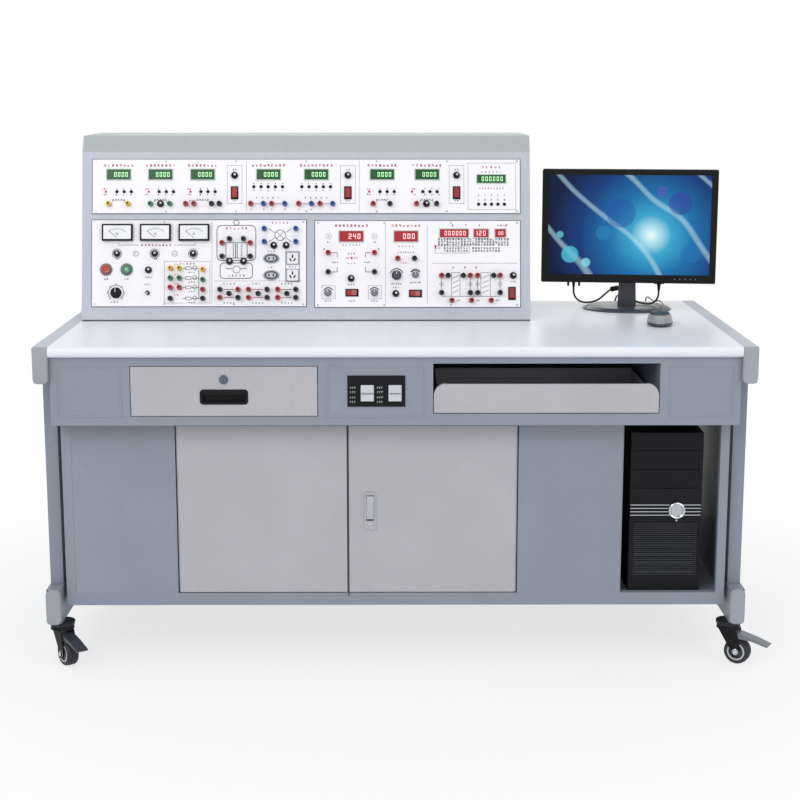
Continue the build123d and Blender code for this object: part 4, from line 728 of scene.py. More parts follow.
def rib_pattern() -> Pattern:
    """Makes upright ribs round a circle, for knurled caps and hubs, one circle on each point.

    Returns:
        The pattern, with the sizes Count, Radius, Depth, Width and Height.
    """
    made = Pattern("round_ribs", {"Count": 24, "Radius": 0.01, "Depth": 0.001, "Width": 0.001, "Height": 0.01})
    tree, size = made.tree, made.inlet
    circle = put(tree, "GeometryNodeMeshCircle", {"Vertices": size["Count"], "Radius": size["Radius"]}).outputs[0]
    where = put(tree, "GeometryNodeInputPosition").outputs[0]
    turn = put(tree, "FunctionNodeAlignRotationToVector", {"Vector": where}, axis="X").outputs[0]
    values = {"Points": circle, "Instance": made.cuboid(size["Depth"], size["Width"], size["Height"]), "Rotation": turn}
    return made.close(size["Geometry"], put(tree, "GeometryNodeInstanceOnPoints", values).outputs[0])


def bar_pattern() -> Pattern:
    """Makes rows of equal bars, one row up from each point.

    Returns:
        The pattern, with the sizes Count, Pitch, Length, Depth and Height.
    """
    made = Pattern("bar_rows", {"Count": 5, "Pitch": 0.01, "Length": 0.1, "Depth": 0.002, "Height": 0.004})
    tree, size = made.tree, made.inlet
    step = put(tree, "ShaderNodeCombineXYZ", {2: size["Pitch"]}).outputs[0]
    row = put(tree, "GeometryNodeMeshLine", {"Count": size["Count"], "Offset": step}, mode="OFFSET").outputs[0]
    values = {"Points": row, "Instance": made.cuboid(size["Length"], size["Depth"], size["Height"])}
    return made.close(size["Geometry"], put(tree, "GeometryNodeInstanceOnPoints", values).outputs[0])


# Studio -----------------------------------------


@dataclass
class Studio:
    """Camera of the photograph, a pale floor and soft lamps.

    The floor turns from its first whiteness to pure white between the two radii of its fade, in metres.
    """

    place: Point = (-6.7, -3949, 1311.8)
    yaw: float = 0.26
    pitch: float = 10.834
    lens: float = 73.62
    floor_half: float = 9.0
    floor_fade: Flat = (0.6, 1.9)
    floor_white: float = 0.72
    daylight: float = 0.55
    lamps: tuple[tuple[Point, float, float], ...] = (
        ((-2.6, -4.2, 3.6), 3, 97),
        ((3, -3.6, 2.6), 3, 49),
        ((0, -0.4, 4.6), 3.4, 30),
        ((0, 4, 3), 3, 22),
    )

    def camera(self) -> None:
        """Makes the camera at the photograph's place and angle."""
        yaw, pitch = math.radians(self.yaw), math.radians(self.pitch)
        ahead = Vector((math.sin(yaw) * math.cos(pitch), math.cos(yaw) * math.cos(pitch), -math.sin(pitch)))
        data = bpy.data.cameras.new("photograph_camera")
        data.lens = self.lens
        data.sensor_width = 36.0
        data.clip_end = 60.0
        camera = bpy.data.objects.new("photograph_camera", data)
        camera.location = Vector(self.place) * MM
        camera.rotation_euler = ahead.to_track_quat("-Z", "Y").to_euler()
        bpy.context.scene.collection.objects.link(camera)
        bpy.context.scene.camera = camera

    def seen_directly(self, tree: Tree) -> Socket:
        """Tells what is looked at from what only lights the object.

        Args:
            tree: Tree that takes the nodes.

        Returns:
            A factor of 1 for what the camera, a mirror or glass looks at.
        """
        path = put(tree, "ShaderNodeLightPath").outputs
        share = path["Is Camera Ray"]
        for kind in ("Is Glossy Ray", "Is Transmission Ray"):
            share = put(tree, "ShaderNodeMath", {0: share, 1: path[kind]}, operation="MAXIMUM").outputs[0]
        return share

    def sky(self) -> None:
        """White surround, dimmer as a lamp than as a background."""
        world = bpy.data.worlds.new("studio_surround")
        bpy.context.scene.world = world
        world.use_nodes = True
        tree = world.node_tree
        tree.nodes.clear()
        lamp = put(tree, "ShaderNodeBackground", {"Color": srgb("#F7F9FC"), "Strength": self.daylight}).outputs[0]
        seen = put(tree, "ShaderNodeBackground", {"Color": (1, 1, 1, 1), "Strength": 1}).outputs[0]
        mixed = put(tree, "ShaderNodeMixShader", {0: self.seen_directly(tree), 1: lamp, 2: seen}).outputs[0]
        put(tree, "ShaderNodeOutputWorld", {"Surface": mixed})

    def floor(self) -> None:
        """Pale floor that takes the shadow and fades to the white surround."""
        form = Form()
        half = self.floor_half / MM
        form.box((-half, -half, -20), (half, half, 0))
        mesh = form.mesh("studio_floor")
        floor = bpy.data.objects.new("studio_floor", mesh)
        bpy.context.scene.collection.objects.link(floor)
        material, tree = fresh_material("painted_studio_floor")
        where = put(tree, "ShaderNodeTexCoord").outputs["Object"]
        reach = put(tree, "ShaderNodeVectorMath", {0: where}, operation="LENGTH").outputs["Value"]
        fade = {"Value": reach, "From Min": self.floor_fade[0], "From Max": self.floor_fade[1]}
        far = put(tree, "ShaderNodeMapRange", fade, interpolation_type="SMOOTHSTEP").outputs[0]
        whiten = put(tree, "ShaderNodeMapRange", {"Value": far, "To Min": self.floor_white}).outputs[0]
        share = put(tree, "ShaderNodeMath", {0: whiten, 1: self.seen_directly(tree)}, operation="MULTIPLY").outputs[0]
        paint = put(tree, "ShaderNodeBsdfDiffuse", {"Color": srgb("#F1F2F4")}).outputs[0]
        white = put(tree, "ShaderNodeEmission", {"Color": (1, 1, 1, 1), "Strength": 1}).outputs[0]
        mixed = put(tree, "ShaderNodeMixShader", {0: share, 1: paint, 2: white}).outputs[0]
        put(tree, "ShaderNodeOutputMaterial", {"Surface": mixed})
        mesh.materials.append(material)

    def lights(self) -> None:
        """Large square lamps aimed at the middle of the object."""
        for number, (place, size, power) in enumerate(self.lamps):
            data = bpy.data.lights.new(f"softbox_{number}", "AREA")
            data.energy = power
            data.size = size
            lamp = bpy.data.objects.new(data.name, data)
            lamp.location = place
            lamp.rotation_euler = (Vector((0, 0, 0.7)) - Vector(place)).to_track_quat("-Z", "Y").to_euler()
            bpy.context.scene.collection.objects.link(lamp)

    def build(self) -> None:
        """Makes the whole studio."""
        self.camera()
        self.sky()
        self.floor()
        self.lights()
        bpy.context.scene.view_settings.view_transform = "Standard"


# Leads ------------------------------------------


@dataclass
class Lead:
    """One lead on a smooth line through its route, in millimetres."""

    name: str
    route: list[Point]
    diameter: float
    length: float
    finish: Finish = LEAD_SHEATH

    def curve(self, thick: bool) -> bpy.types.Object:
        """Draws the route as an open spline.

        Args:
            thick: Gives it the lead's thickness.

        Returns:
            The curve object.
        """
        data = bpy.data.curves.new(self.name, "CURVE")
        data.dimensions = "3D"
        data.resolution_u = 8
        data.use_fill_caps = True
        if thick:
            data.bevel_depth = self.diameter / 2 * MM
            data.bevel_resolution = 3
        spline = data.splines.new("NURBS")
        spline.points.add(len(self.route) - 1)
        for point, place in zip(spline.points, self.route):
            point.co = (*(c * MM for c in place), 1)
        spline.order_u = 3
        spline.use_endpoint_u = True
        thing = bpy.data.objects.new(self.name, data)
        bpy.context.scene.collection.objects.link(thing)
        return thing

    def plain(self, body: str, node: str) -> None:
        """Lays the lead as a curve that rides on one body.

        Args:
            body: Body that carries it.
            node: CAD node that it stands for.
        """
        thing = self.curve(thick=True)
        thing.data.materials.append(self.finish.build())
        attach(thing, body)
        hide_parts(node)
        self.declare()

    def bending(self, node: str) -> None:
        """Lays the lead as a tube mesh fixed in place.

        Args:
            node: CAD node that it stands for.
        """
        line, tube = self.curve(thick=False), self.curve(thick=True)
        graph = bpy.context.evaluated_depsgraph_get()
        path_mesh = bpy.data.meshes.new_from_object(line.evaluated_get(graph))
        mesh = bpy.data.meshes.new_from_object(tube.evaluated_get(graph))
        for thing in (line, tube):
            bpy.data.objects.remove(thing)
        thing = bpy.data.objects.new(self.name, smooth(mesh, 60))
        mesh.materials.clear()
        mesh.materials.append(self.finish.build())
        bpy.context.scene.collection.objects.link(thing)
        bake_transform(thing)
        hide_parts(node)
        self.declare()

    def declare(self) -> None:
        """Logs that the lead is laid.
        """
        LOG.info("%s laid", self.name)


@dataclass
class Leads:
    """Monitor signal lead with its filter bead, monitor power lead and mouse lead.
    """

    still_from: int = 8
    bead_start: Point = (562, 282.2, 795.2)
    bead_end: Point = (580, 293.8, 797.4)

    def build(self) -> None:
        """Lays the three leads."""
        signal = Lead("monitor_signal_lead", VIDEO_ROUTE, 5, 985)
        signal.bending("video_cord")
        start, end = Vector(self.bead_start), Vector(self.bead_end)
        bead = Form(Matrix.Translation(start) @ (end - start).to_track_quat("Z", "Y").to_matrix().to_4x4())
        bead.ring((0, 0), [(2.2, 0), (5.6, 0), (6.6, 1), (6.6, 20.4), (5.6, 21.4), (2.2, 21.4)], 24)
        bead.ride("lead_filter_bead", "bench", BLACK_ABS, "lead")
        power = Lead("monitor_power_lead", POWER_ROUTE, 5, 866)
        power.bending("monitor_power_cord")
        Lead("mouse_lead", MOUSE_ROUTE, 3.5, 968).plain("bench", "mouse_cord")


VIDEO_ROUTE: list[Point] = [
    (460.2, 249.8, 802), (460.2, 249.8, 790.2), (464.6, 250.9, 778.9), (472.7, 253, 770.4),
    (483.3, 255.8, 765.2), (497, 259, 763.2), (513, 262.5, 765), (529.5, 267, 771),
    (545, 273.5, 784), (560, 281, 795), (576, 291, 798), (590, 305, 791),
    (597, 324, 780), (597, 345, 770), (594, 367, 768), (591, 390, 765),
    (589, 410, 745), (588, 417, 716), (586.5, 419.5, 660), (585, 421, 600),
    (582.5, 421, 535), (579, 418, 470), (576, 408, 412), (574, 384, 367),
    (573, 345, 341), (572, 298, 342), (571, 261, 368), (570.5, 235, 408),
    (570, 203, 440), (570, 165, 452), (570, 128, 452),
]  # fmt: skip
POWER_ROUTE: list[Point] = [
    (675.9, 223.3, 797.6), (675.9, 223.3, 786), (672, 225.5, 775.3), (664.9, 229.6, 767.1),
    (655.6, 235, 762.7), (643.5, 242, 762.6), (628, 253.5, 765), (617, 270, 769),
    (612, 290, 771), (613, 311, 768), (615, 333, 764), (616, 356, 764),
    (616, 380, 768), (615.5, 404, 756), (616, 415, 729), (617, 419, 685),
    (619, 421, 625), (621, 420, 560), (620, 418, 495), (619, 420, 430),
    (621, 416, 370), (625, 398, 315), (629, 364, 272), (637, 327, 243),
    (655, 300, 230), (680, 290, 230), (702, 290, 230),
]  # fmt: skip
MOUSE_ROUTE: list[Point] = [
    (645, 8, 762), (646, 30, 762), (650, 58, 754.5), (657, 88, 753.5),
    (664, 118, 756), (672, 146, 763), (680, 176, 766), (685, 210, 767),
    (687, 246, 767), (686, 282, 766), (683, 318, 758), (679, 352, 757),
    (675, 382, 763), (672, 404, 758), (670, 413, 735), (669, 417, 700),
    (667, 415, 660), (666, 417, 610), (664, 415, 560), (663, 411, 512),
    (660, 397, 472), (656, 370, 448), (651, 335, 440), (646, 295, 448),
    (643, 255, 463), (641, 215, 476), (640, 175, 480), (640, 137, 480),
]  # fmt: skip


# Bench ------------------------------------------


@dataclass
class BenchFrame:
    """Worktop, side frames and the moulded caps on their rail ends.

    Each rail is given by the height of its lower edge and how far its caps reach from the middle.
    """

    side: float = 800.0
    rail: float = 34.0
    rail_height: float = 82.0
    cap: float = 10.0
    cap_radius: float = 11.0
    cap_crown: float = 2.5
    top_rail: Flat = (668, 400)
    foot_rail: Flat = (100, 362)

    def cap_form(self, form: Form, side: int, end: int, rail: Flat, radii: Four) -> None:
        """Adds one cap with a crowned face to a form whose Z is the object's -Y.

        Args:
            form: Form of all the caps.
            side: -1 on the left, 1 on the right.
            end: -1 at the front, 1 at the back.
            rail: Height of the rail's lower edge, and how far its caps reach from the middle.
            radii: Radii of the cap's corners.
        """
        bottom, tip = rail
        low_x, high_x = sorted((side * (self.side - self.rail), side * self.side))
        outline = rounded_outline((low_x, bottom), (high_x, bottom + self.rail_height), radii)
        mid_x, mid_y = (low_x + high_x) / 2, bottom + self.rail_height / 2
        eased = [(mid_x + (x - mid_x) * 0.88, mid_y + (y - mid_y) * 0.95) for x, y in outline]
        stack = [(outline, tip - self.cap), (outline, tip - self.cap_crown), (eased, tip)]
        if end > 0:
            stack = [(points, -depth) for points, depth in reversed(stack)]
        form.skin([[(x, y, depth) for x, y in points] for points, depth in stack])

    def build(self) -> None:
        """Dresses the frame."""
        refined("worktop", "bench", WORKTOP_LAMINATE, 0)
        # Upper faces of the rails take the lighter copy of the paint, painted light from above; all other faces keep
        # the darker copy, painted shade.
        frames = refined("side_frames", "bench", SHADED_POST_COAT, 1.6)
        frames.data.materials.append(LIT_RAIL_TOP_COAT.build())
        for face in frames.data.polygons:
            face.material_index = int(face.center.z > (WORKTOP_TOP - 0.1) * MM)
        form = Form(FRONTAL)
        radius = self.cap_radius
        for side in (-1, 1):
            for end in (-1, 1):
                self.cap_form(form, side, end, self.top_rail, (radius, radius, 2, 2))
                self.cap_form(form, side, end, self.foot_rail, (radius, radius, radius, radius))
        form.ride("rail_end_caps", "bench", CAP_PLASTIC, "cap_plastic", ("end_caps",))


@dataclass
class Casters:
    """Four braked twin-leg casters, each with its place and its turn in degrees."""

    places: tuple[tuple[str, float, float, float], ...] = (
        ("front_left", -771, -325, -53),
        ("front_right", 771, -325, -30),
        ("rear_left", -771, 325, 150),
        ("rear_right", 771, 325, 127),
    )
    ribs: Pattern = field(default_factory=rib_pattern)
    trail: float = 24.0
    wheel_radius: float = 30.0
    wheel_half: float = 14.0
    tyre_root: float = 21.0

    def wheel(self, name: str, place: Matrix) -> None:
        """Sets a tyre with a grooved tread on a stepped and ribbed hub.

        Args:
            name: Corner of the bench.
            place: Frame of the caster on the floor under its kingpin.
        """
        body = f"wheel_{name}"
        axle = place @ Matrix.Translation((self.trail, 0, self.wheel_radius)) @ FRONTAL
        half, out = self.wheel_half, self.wheel_radius
        tyre = Form(axle)
        profile = [
            (self.tyre_root, -half + 1), (out - 3, -half + 0.6), (out - 0.8, -half + 3), (out, -6), (out - 1.2, -5),
            (out - 1.2, -3.8), (out, -3), (out, 3), (out - 1.2, 3.8), (out - 1.2, 5), (out, 6), (out - 0.8, half - 3),
            (out - 3, half - 0.6), (self.tyre_root, half - 1),
        ]  # fmt: skip
        tyre.ring((0, 0), profile, 40)
        tyre.ride(f"tyre_{name}", body, TYRE_RUBBER, "tyre", (f"caster_wheel_{name}",))
        hub = Form(axle)
        root = self.tyre_root + 0.2
        profile = [
            (4.2, -half), (8.5, -half), (9.5, -half + 1.5), (18, -half + 3.5), (root, -half + 2), (root, half - 2),
            (18, half - 3.5), (9.5, half - 1.5), (8.5, half), (4.2, half),
        ]  # fmt: skip
        hub.ring((0, 0), profile, 36)
        hub.ride(f"hub_{name}", body, DARK_GREY, "black_plastic")
        spokes = {"Count": 8, "Radius": 14, "Depth": 9, "Width": 1.6, "Height": 22.6}
        middle = points_mesh([(0, 0, 0)])
        self.ribs.ride(f"hub_ribs_{name}", body, DARK_GREY, "black_plastic", middle, axle, **spokes)
        rim = Form(axle)
        for side in (-1, 1):
            face = side * (half - 1.6)
            rim.ring((0, 0), [(17.2, face - 1.2), (20.6, face - 1.2), (20.6, face + 1.2), (17.2, face + 1.2)], 36)
        rim.ride(f"hub_rims_{name}", body, PALE_GREY, "grey_plastic")

    def fittings(self, name: str, place: Matrix) -> None:
        """Sets the axle bolts with their washers, and the race under the top plate.

        Args:
            name: Corner of the bench.
            place: Frame of the caster on the floor under its kingpin.
        """
        for side in (-1, 1):
            seat = place @ Matrix.Translation((self.trail, side * 17.5, self.wheel_radius))
            form = Form(seat @ Matrix.Rotation(math.radians(-90 * side), 4, "X"))
            form.turned((0, 0), [(7.6, -0.2), (7.6, 0.6), (7, 1)], 24)
            form.turned((0, 0), [(6, 1), (6, 3.6), (5.2, 4.3)], 6)
            label = "outer" if side > 0 else "inner"
            form.ride(f"axle_bolt_{label}_{name}", f"fork_{name}", CHROME, "steel")
        race = Form(place)
        race.ring((0, 0), [(23, 92), (28.6, 92.6), (28.6, 95.8), (23, 96.6)], 36)
        race.ride(f"swivel_race_{name}", f"fork_{name}", DARK_ZINC, "steel")

    def build(self) -> None:
        """Dresses all four casters."""
        refined("caster_plates", "bench", DARK_ZINC, 0.5)
        for name, x, y, turn in self.places:
            place = Matrix.Translation((x, y, 0)) @ Matrix.Rotation(math.radians(turn), 4, "Z")
            refined(f"caster_fork_{name}", f"fork_{name}", BLACK_ABS, 0.8)
            self.wheel(name, place)
            self.fittings(name, place)
            finish = MID_GREY if name.endswith("right") else DARK_GREY
            refined(f"caster_brake_{name}", f"pedal_{name}", finish, 1.2)


@dataclass
class Apron:
    """Apron case, drawer with its cup pull and lock, keyboard tray and mains switches.

    The fronts of drawer and tray stand at the depth of face before the middle.
    """

    face: float = 386.0
    lock_centre: Flat = (-380.5, 676)
    rocker_width: float = 26.0

    def tray_front(self) -> None:
        """Tray front with round upper corners and an eased edge."""
        form = Form(FRONTAL)
        outline = rounded_outline((84.5, 600), (584.5, 666), (2, 2, 27, 27), 10)
        form.prism(outline, self.face - 12.8, self.face, 1.2)
        form.ride("tray_front", "tray", DOOR_PAINT, "door_paint")

    def switch_marks(self) -> None:
        """Pale position marks beside the mains rockers, and the line across each rocker."""
        plate = -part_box("switch_plate")[0].y / MM
        marks = Form(FRONTAL)
        dice = random.Random(7)
        for left in (-101, -41):
            for height in (659, 649, 637, 627):
                for step in range(3):
                    x = left + 4.6 * step
                    marks.box((x, height, plate - 0.1), (x + dice.uniform(2, 3.6), height + 1.2, plate + 0.2))
                    marks.box((x, height - 3, plate - 0.1), (x + 1.1, height + 1.2, plate + 0.2))
        marks.ride("switch_plate_marks", "bench", PALE_GREY, "white_plastic")
        low, high = (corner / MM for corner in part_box("mains_rockers"))
        seams = Form(FRONTAL)
        face = -low.y - 2.2
        for left in (low.x + 1.5, high.x - 1.5 - self.rocker_width):
            seams.box((left, 644.6, face - 2), (left + self.rocker_width, 645.4, face + 0.25))
        seams.ride("rocker_seams", "mains_switches", DARK_GREY, "black_plastic")

    def lock(self) -> None:
        """Drawer lock: dull nickel rim, sunk face and key slot."""
        form, slot = Form(FRONTAL), Form(FRONTAL)
        (x, z), foot, rim = self.lock_centre, self.face - 1, self.face + 2.0
        profile = [(6.6, foot), (10, foot), (10, rim), (9.2, rim + 1.2), (7.2, rim + 1.2), (6.6, rim + 0.2)]
        form.ring((x, z), profile, 32)
        form.turned((x, z), [(6.8, foot), (6.8, rim), (6.4, rim + 0.4)], 24)
        form.ride("drawer_lock_face", "drawer", LOCK_NICKEL, "chrome", ("drawer_lock",))
        slot.box((x - 0.7, z - 3.4, rim), (x + 0.7, z + 3.4, rim + 0.6))
        slot.ride("drawer_key_slot", "drawer", BLACK_ABS, "black_plastic")

    def build(self) -> None:
        """Dresses the apron."""
        refined("apron_case", "bench", APRON_PAINT, 0.5)
        refined("slide_runners", "bench", STEEL, 0.3)
        refined("drawer", "drawer", DOOR_PAINT, 0.7)
        refined("drawer_pull", "drawer", BLACK_ABS, 0.6)
        self.lock()
        refined("keyboard_tray", "tray", DOOR_PAINT, 0.6)
        self.tray_front()
        refined("switch_plate", "bench", BLACK_ABS, 0.6)
        refined("mains_rockers", "mains_switches", PALE_GREY, 0.8)
        self.switch_marks()


@dataclass
class Cabinet:
    """Cupboard with two doors and the flush handle, whose lock stands at barrel_height on its plate."""

    strip_width: float = 3.0
    barrel_height: float = 18.0

    def meeting_strip(self) -> None:
        """Dark strip of painted shadow on the edge where the doors meet, and the barrel and key slot of the lock."""
        low, high = (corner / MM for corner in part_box("right_door"))
        strip, barrel, slot = Form(FRONTAL), Form(FRONTAL), Form(FRONTAL)
        # Flat dark strip on the right door's front edge: painted shadow of the gap between the doors.
        strip.box((low.x, low.z + 0.5, -low.y), (low.x + self.strip_width, high.z - 0.5, -low.y + 0.5))
        strip.ride("door_meeting_strip", "door_right", PAINTED_GAP_SHADOW, "black_plastic")
        low, high = (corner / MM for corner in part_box("handle_plate"))
        x, z, face = (low.x + high.x) / 2, low.z + self.barrel_height, -low.y
        barrel.turned((x, z), [(5, face - 1), (5, face + 0.9), (4.4, face + 1.4)], 28)
        barrel.ride("door_lock_barrel", "door_right", CHROME, "chrome")
        slot.box((x - 0.5, z - 2.6, face + 1.2), (x + 0.5, z + 2.6, face + 1.6))
        slot.ride("door_key_slot", "door_right", BLACK_ABS, "black_plastic")

    def build(self) -> None:
        """Dresses the cupboard."""
        refined("cabinet_case", "bench", APRON_PAINT, 0.5)
        for side in ("left", "right"):
            refined(f"{side}_door", f"door_{side}", DOOR_PAINT, 0.9)
        refined("handle_plate", "door_right", HANDLE_NICKEL, 0.8)
        refined("door_handle", "handle", STEEL, 1)
        self.meeting_strip()


@dataclass
class Tower:
    """Computer in the bay, with the slats, ribs, bands, lamp and button ring of its front."""

    left: float = 537.5
    right: float = 702.5
    front: float = -311.0
    button_x: float = 645.0
    button_z: float = 357.0
    lamp_z: float = 333.5

    def build(self) -> None:
        """Dresses the computer and sets its trim."""
        refined("pc_tower", "bench", BLACK_ABS, 0.8)
        refined("pc_button", "tower_button", STEEL, 1.2)
        bars = bar_pattern()
        for name, finish, depth, foot, count, pitch, size in (
            ("intake_slats", DARK_GREY, 9, 205.4, 24, 4.1, (134, 2, 1.8)),
            ("front_ribs", DARK_GREY, 0.2, 205, 25, 5, (146, 1, 1.1)),
            ("trim_bands", CHROME, 4.2, 345, 4, 8, (162, 2.4, 1.6)),
        ):
            seeds = points_mesh([((self.left + self.right) / 2, self.front + depth, foot)])
            sizes = {"Count": count, "Pitch": pitch, **dict(zip(("Length", "Depth", "Height"), size))}
            bars.ride(name, "bench", finish, "computer", seeds, UPRIGHT, **sizes)
        lamp = Form(Matrix.Translation((self.button_x, self.front, self.lamp_z)) @ FRONTAL)
        lamp.turned((0, 0), [(2.2, -1), (2.2, 0.8), (1.4, 1.4)], 16)
        lamp.ride("tower_lamp", "bench", PALE_GREY, "computer")
        ring = Form(Matrix.Translation((self.button_x, self.front - 2, self.button_z)) @ FRONTAL)
        ring.ring((0, 0), [(14.6, -1), (19.2, -1), (18.8, 1.6), (16.8, 2.6), (14.6, 1.4)], 40)
        ring.ride("power_button_ring", "bench", CHROME, "computer")


# Console ----------------------------------------


@dataclass
class Ink:
    """One colour of print on the boards, gathered as thin closed bars."""

    name: str
    finish: Finish
    thickness: float = 0.16
    weight: float = 1.7
    form: Form = field(default_factory=lambda: Form(FACE))
    dashes: list[list[Point]] = field(default_factory=list)

    def line(self, x0: float, s0: float, x1: float, s1: float, width: float = 0.9) -> None:
        """Adds a straight stroke between two places."""
        self.form.stroke((x0, s0), (x1, s1), width * self.weight, BOARD, BOARD + self.thickness)

    def lines(self, width: float, *ends: Four) -> None:
        """Adds straight strokes of one width, each given by its two ends."""
        for end in ends:
            self.line(*end, width)

    def loop(self, spots: list[Flat], width: float = 0.9) -> None:
        """Adds a closed line through places."""
        for start, end in zip(spots, spots[1:] + spots[:1]):
            self.line(*start, *end, width)

    def frame(self, x0: float, s0: float, x1: float, s1: float, width: float = 0.9) -> None:
        """Adds a rectangle between its lower left and upper right corner."""
        self.loop([(x0, s0), (x1, s0), (x1, s1), (x0, s1)], width)

    def glyphs(self, x: float, s: float, count: int, pitch: float, size: float, seed: int) -> None:
        """Adds a row of small invented marks, where the real board has its words.

        Args:
            x: Middle of the row.
            s: Middle height.
            count: Number of marks.
            pitch: Spacing.
            size: Height of a mark.
            seed: Fixed seed of the strokes.
        """
        dice = random.Random(seed)
        stroke = max(0.55, size * 0.16)
        for i in range(count):
            left = x + (i - (count - 1) / 2) * pitch - size / 2
            for share in (0.1, 0.5, 0.9):
                if dice.random() < 0.75:
                    row = s + (share - 0.5) * size
                    self.line(left, row, left + size * dice.uniform(0.6, 1), row, stroke)
            for share in (0.2, 0.75):
                if dice.random() < 0.75:
                    column = left + share * size
                    self.line(column, s - size / 2, column, s + size / 2 * dice.uniform(0.3, 1), stroke)

    def rows(self, *rows: tuple[float, float, int, float, float, int]) -> None:
        """Adds rows of invented marks, each given as for glyphs()."""
        for row in rows:
            self.glyphs(*row)

    def round_mark(self, x: float, s: float, radius: float, width: float = 1.0) -> None:
        """Adds a printed ring."""
        top = BOARD + self.thickness
        self.form.ring((x, s), [(radius - width, BOARD), (radius, BOARD), (radius, top), (radius - width, top)], 28)

    def arc(self, x: float, s: float, radius: float, start: float, end: float, width: float = 1.0) -> None:
        """Adds an arc of short strokes.

        Args:
            x: Middle of the arc.
            s: Middle height.
            radius: Radius of the arc.
            start: First angle in degrees.
            end: Last angle in degrees.
            width: Width of the strokes.
        """
        steps = max(3, int(abs(end - start) / 18))
        angles = [math.radians(start + (end - start) * i / steps) for i in range(steps + 1)]
        spots = [(x + radius * math.cos(a), s + radius * math.sin(a)) for a in angles]
        for one, two in zip(spots, spots[1:]):
            self.line(*one, *two, width)

    def dashed(self, *spots: Flat) -> None:
        """Adds a dashed line through places."""
        height = BOARD + self.thickness / 2
        self.dashes += [[(*one, height), (*two, height)] for one, two in zip(spots, spots[1:])]

    def dashed_frame(self, x0: float, s0: float, x1: float, s1: float) -> None:
        """Adds a dashed rectangle."""
        self.dashed((x0, s0), (x1, s0), (x1, s1), (x0, s1), (x0, s0))

    def build(self, dash: Pattern) -> None:
        """Makes the pieces of this ink.

        Args:
            dash: Pattern of its dashed lines.
        """
        self.form.ride(f"print_{self.name}", "bench", self.finish, "board")
        if self.dashes:
            sizes = {"Step": 3.6, "Dash": 2.4, "Width": 1.2, "Thickness": self.thickness}
            dash.ride(f"dashes_{self.name}", "bench", self.finish, "board", lines_mesh(self.dashes), **sizes)


SEGMENTS: dict[str, str] = {
    "0": "abcdef", "1": "bc", "2": "abdeg", "3": "abcdg", "4": "bcfg", "5": "acdfg",
    "6": "acdefg", "7": "abc", "8": "abcdefg", "9": "abcdfg",
}  # fmt: skip


@dataclass
class Readout:
    """One digital display: sunk filter window and seven-segment digits."""

    x: float
    s: float
    width: float
    height: float
    digits: str
    digit_height: float

    def window(self, form: Form) -> None:
        """Adds the filter in the frame."""
        half_w, half_h = self.width / 2 + 0.8, self.height / 2 + 0.8
        form.box((self.x - half_w, self.s - half_h, BOARD + 1.9), (self.x + half_w, self.s + half_h, BOARD + 2.4))

    def figures(self, form: Form) -> None:
        """Adds the lit digits, right-aligned in the window.

        Args:
            form: Form of all the digits of one colour.
        """
        tall = self.digit_height
        wide, stroke = tall * 0.52, tall * 0.13
        pitch = wide + stroke * 2.4
        start = self.x + self.width / 2 - 2.5 - pitch * len(self.digits)
        base = BOARD + 2.4
        for place, digit in enumerate(self.digits):
            left = start + place * pitch
            right, bottom, top = left + wide, self.s - tall / 2, self.s + tall / 2
            bars = {
                "a": (left, top - stroke, right, top), "g": (left, self.s - stroke / 2, right, self.s + stroke / 2),
                "d": (left, bottom, right, bottom + stroke), "f": (left, self.s, left + stroke, top),
                "e": (left, bottom, left + stroke, self.s), "b": (right - stroke, self.s, right, top),
                "c": (right - stroke, bottom, right, self.s),
            }  # fmt: skip
            for key in SEGMENTS[digit]:
                x0, s0, x1, s1 = bars[key]
                form.box((x0 + 0.1, s0 + 0.1, base), (x1 - 0.1, s1 - 0.1, base + 0.3))


# Finish, slot and places of the terminals of each colour
TERMINALS: dict[str, tuple[Finish, str, list[Flat]]] = {
    "red": (RED_PLASTIC, "red_plastic", [
        (-512, 287), (-492, 287), (-353, 287), (-302, 287), (-236, 287), (-184, 287), (-54, 287), (52, 287),
        (-549, 82), (-527, 82), (-470, 77), (-423, 191), (-354, 191), (-428, 57), (-384, 77), (-358, 77), (-358, 57),
        (-287, 77), (-287, 57), (-164, 167), (-51, 167), (6, 153), (113, 111), (183, 111), (201, 111), (256, 111),
        (138, 50), (186, 50), (234, 50),
    ]),
    "black": (TERMINAL_BLACK, "black_plastic", [
        (-449, 287), (-430, 287), (-13, 287), (101, 287), (-549, 55), (-470, 55), (-405, 201), (-371, 201),
        (-423, 158), (-354, 158), (-428, 77), (-384, 57), (-406, 67), (-335, 67), (-265, 67), (-313, 77), (-313, 57),
        (-243, 77), (-243, 57), (-164, 120), (-51, 120), (47, 153), (129, 111), (166, 111), (240, 111), (113, 69),
        (183, 69), (201, 69), (256, 69),
    ]),
    "blue": (BLUE_PLASTIC, "terminals", [
        (-322, 287), (-270, 287), (-205, 287), (-153, 287), (-320, 226), (-243, 226), (-320, 194), (-243, 194),
    ]),
    "yellow": (YELLOW_PLASTIC, "terminals", [(-700, 287), (-653, 287), (-549, 129), (-527, 129), (-470, 126)]),
    "green": (GREEN_PLASTIC, "green_plastic", [(-598, 287), (-551, 287), (-549, 105), (-527, 105), (-470, 101)]),
}  # fmt: skip


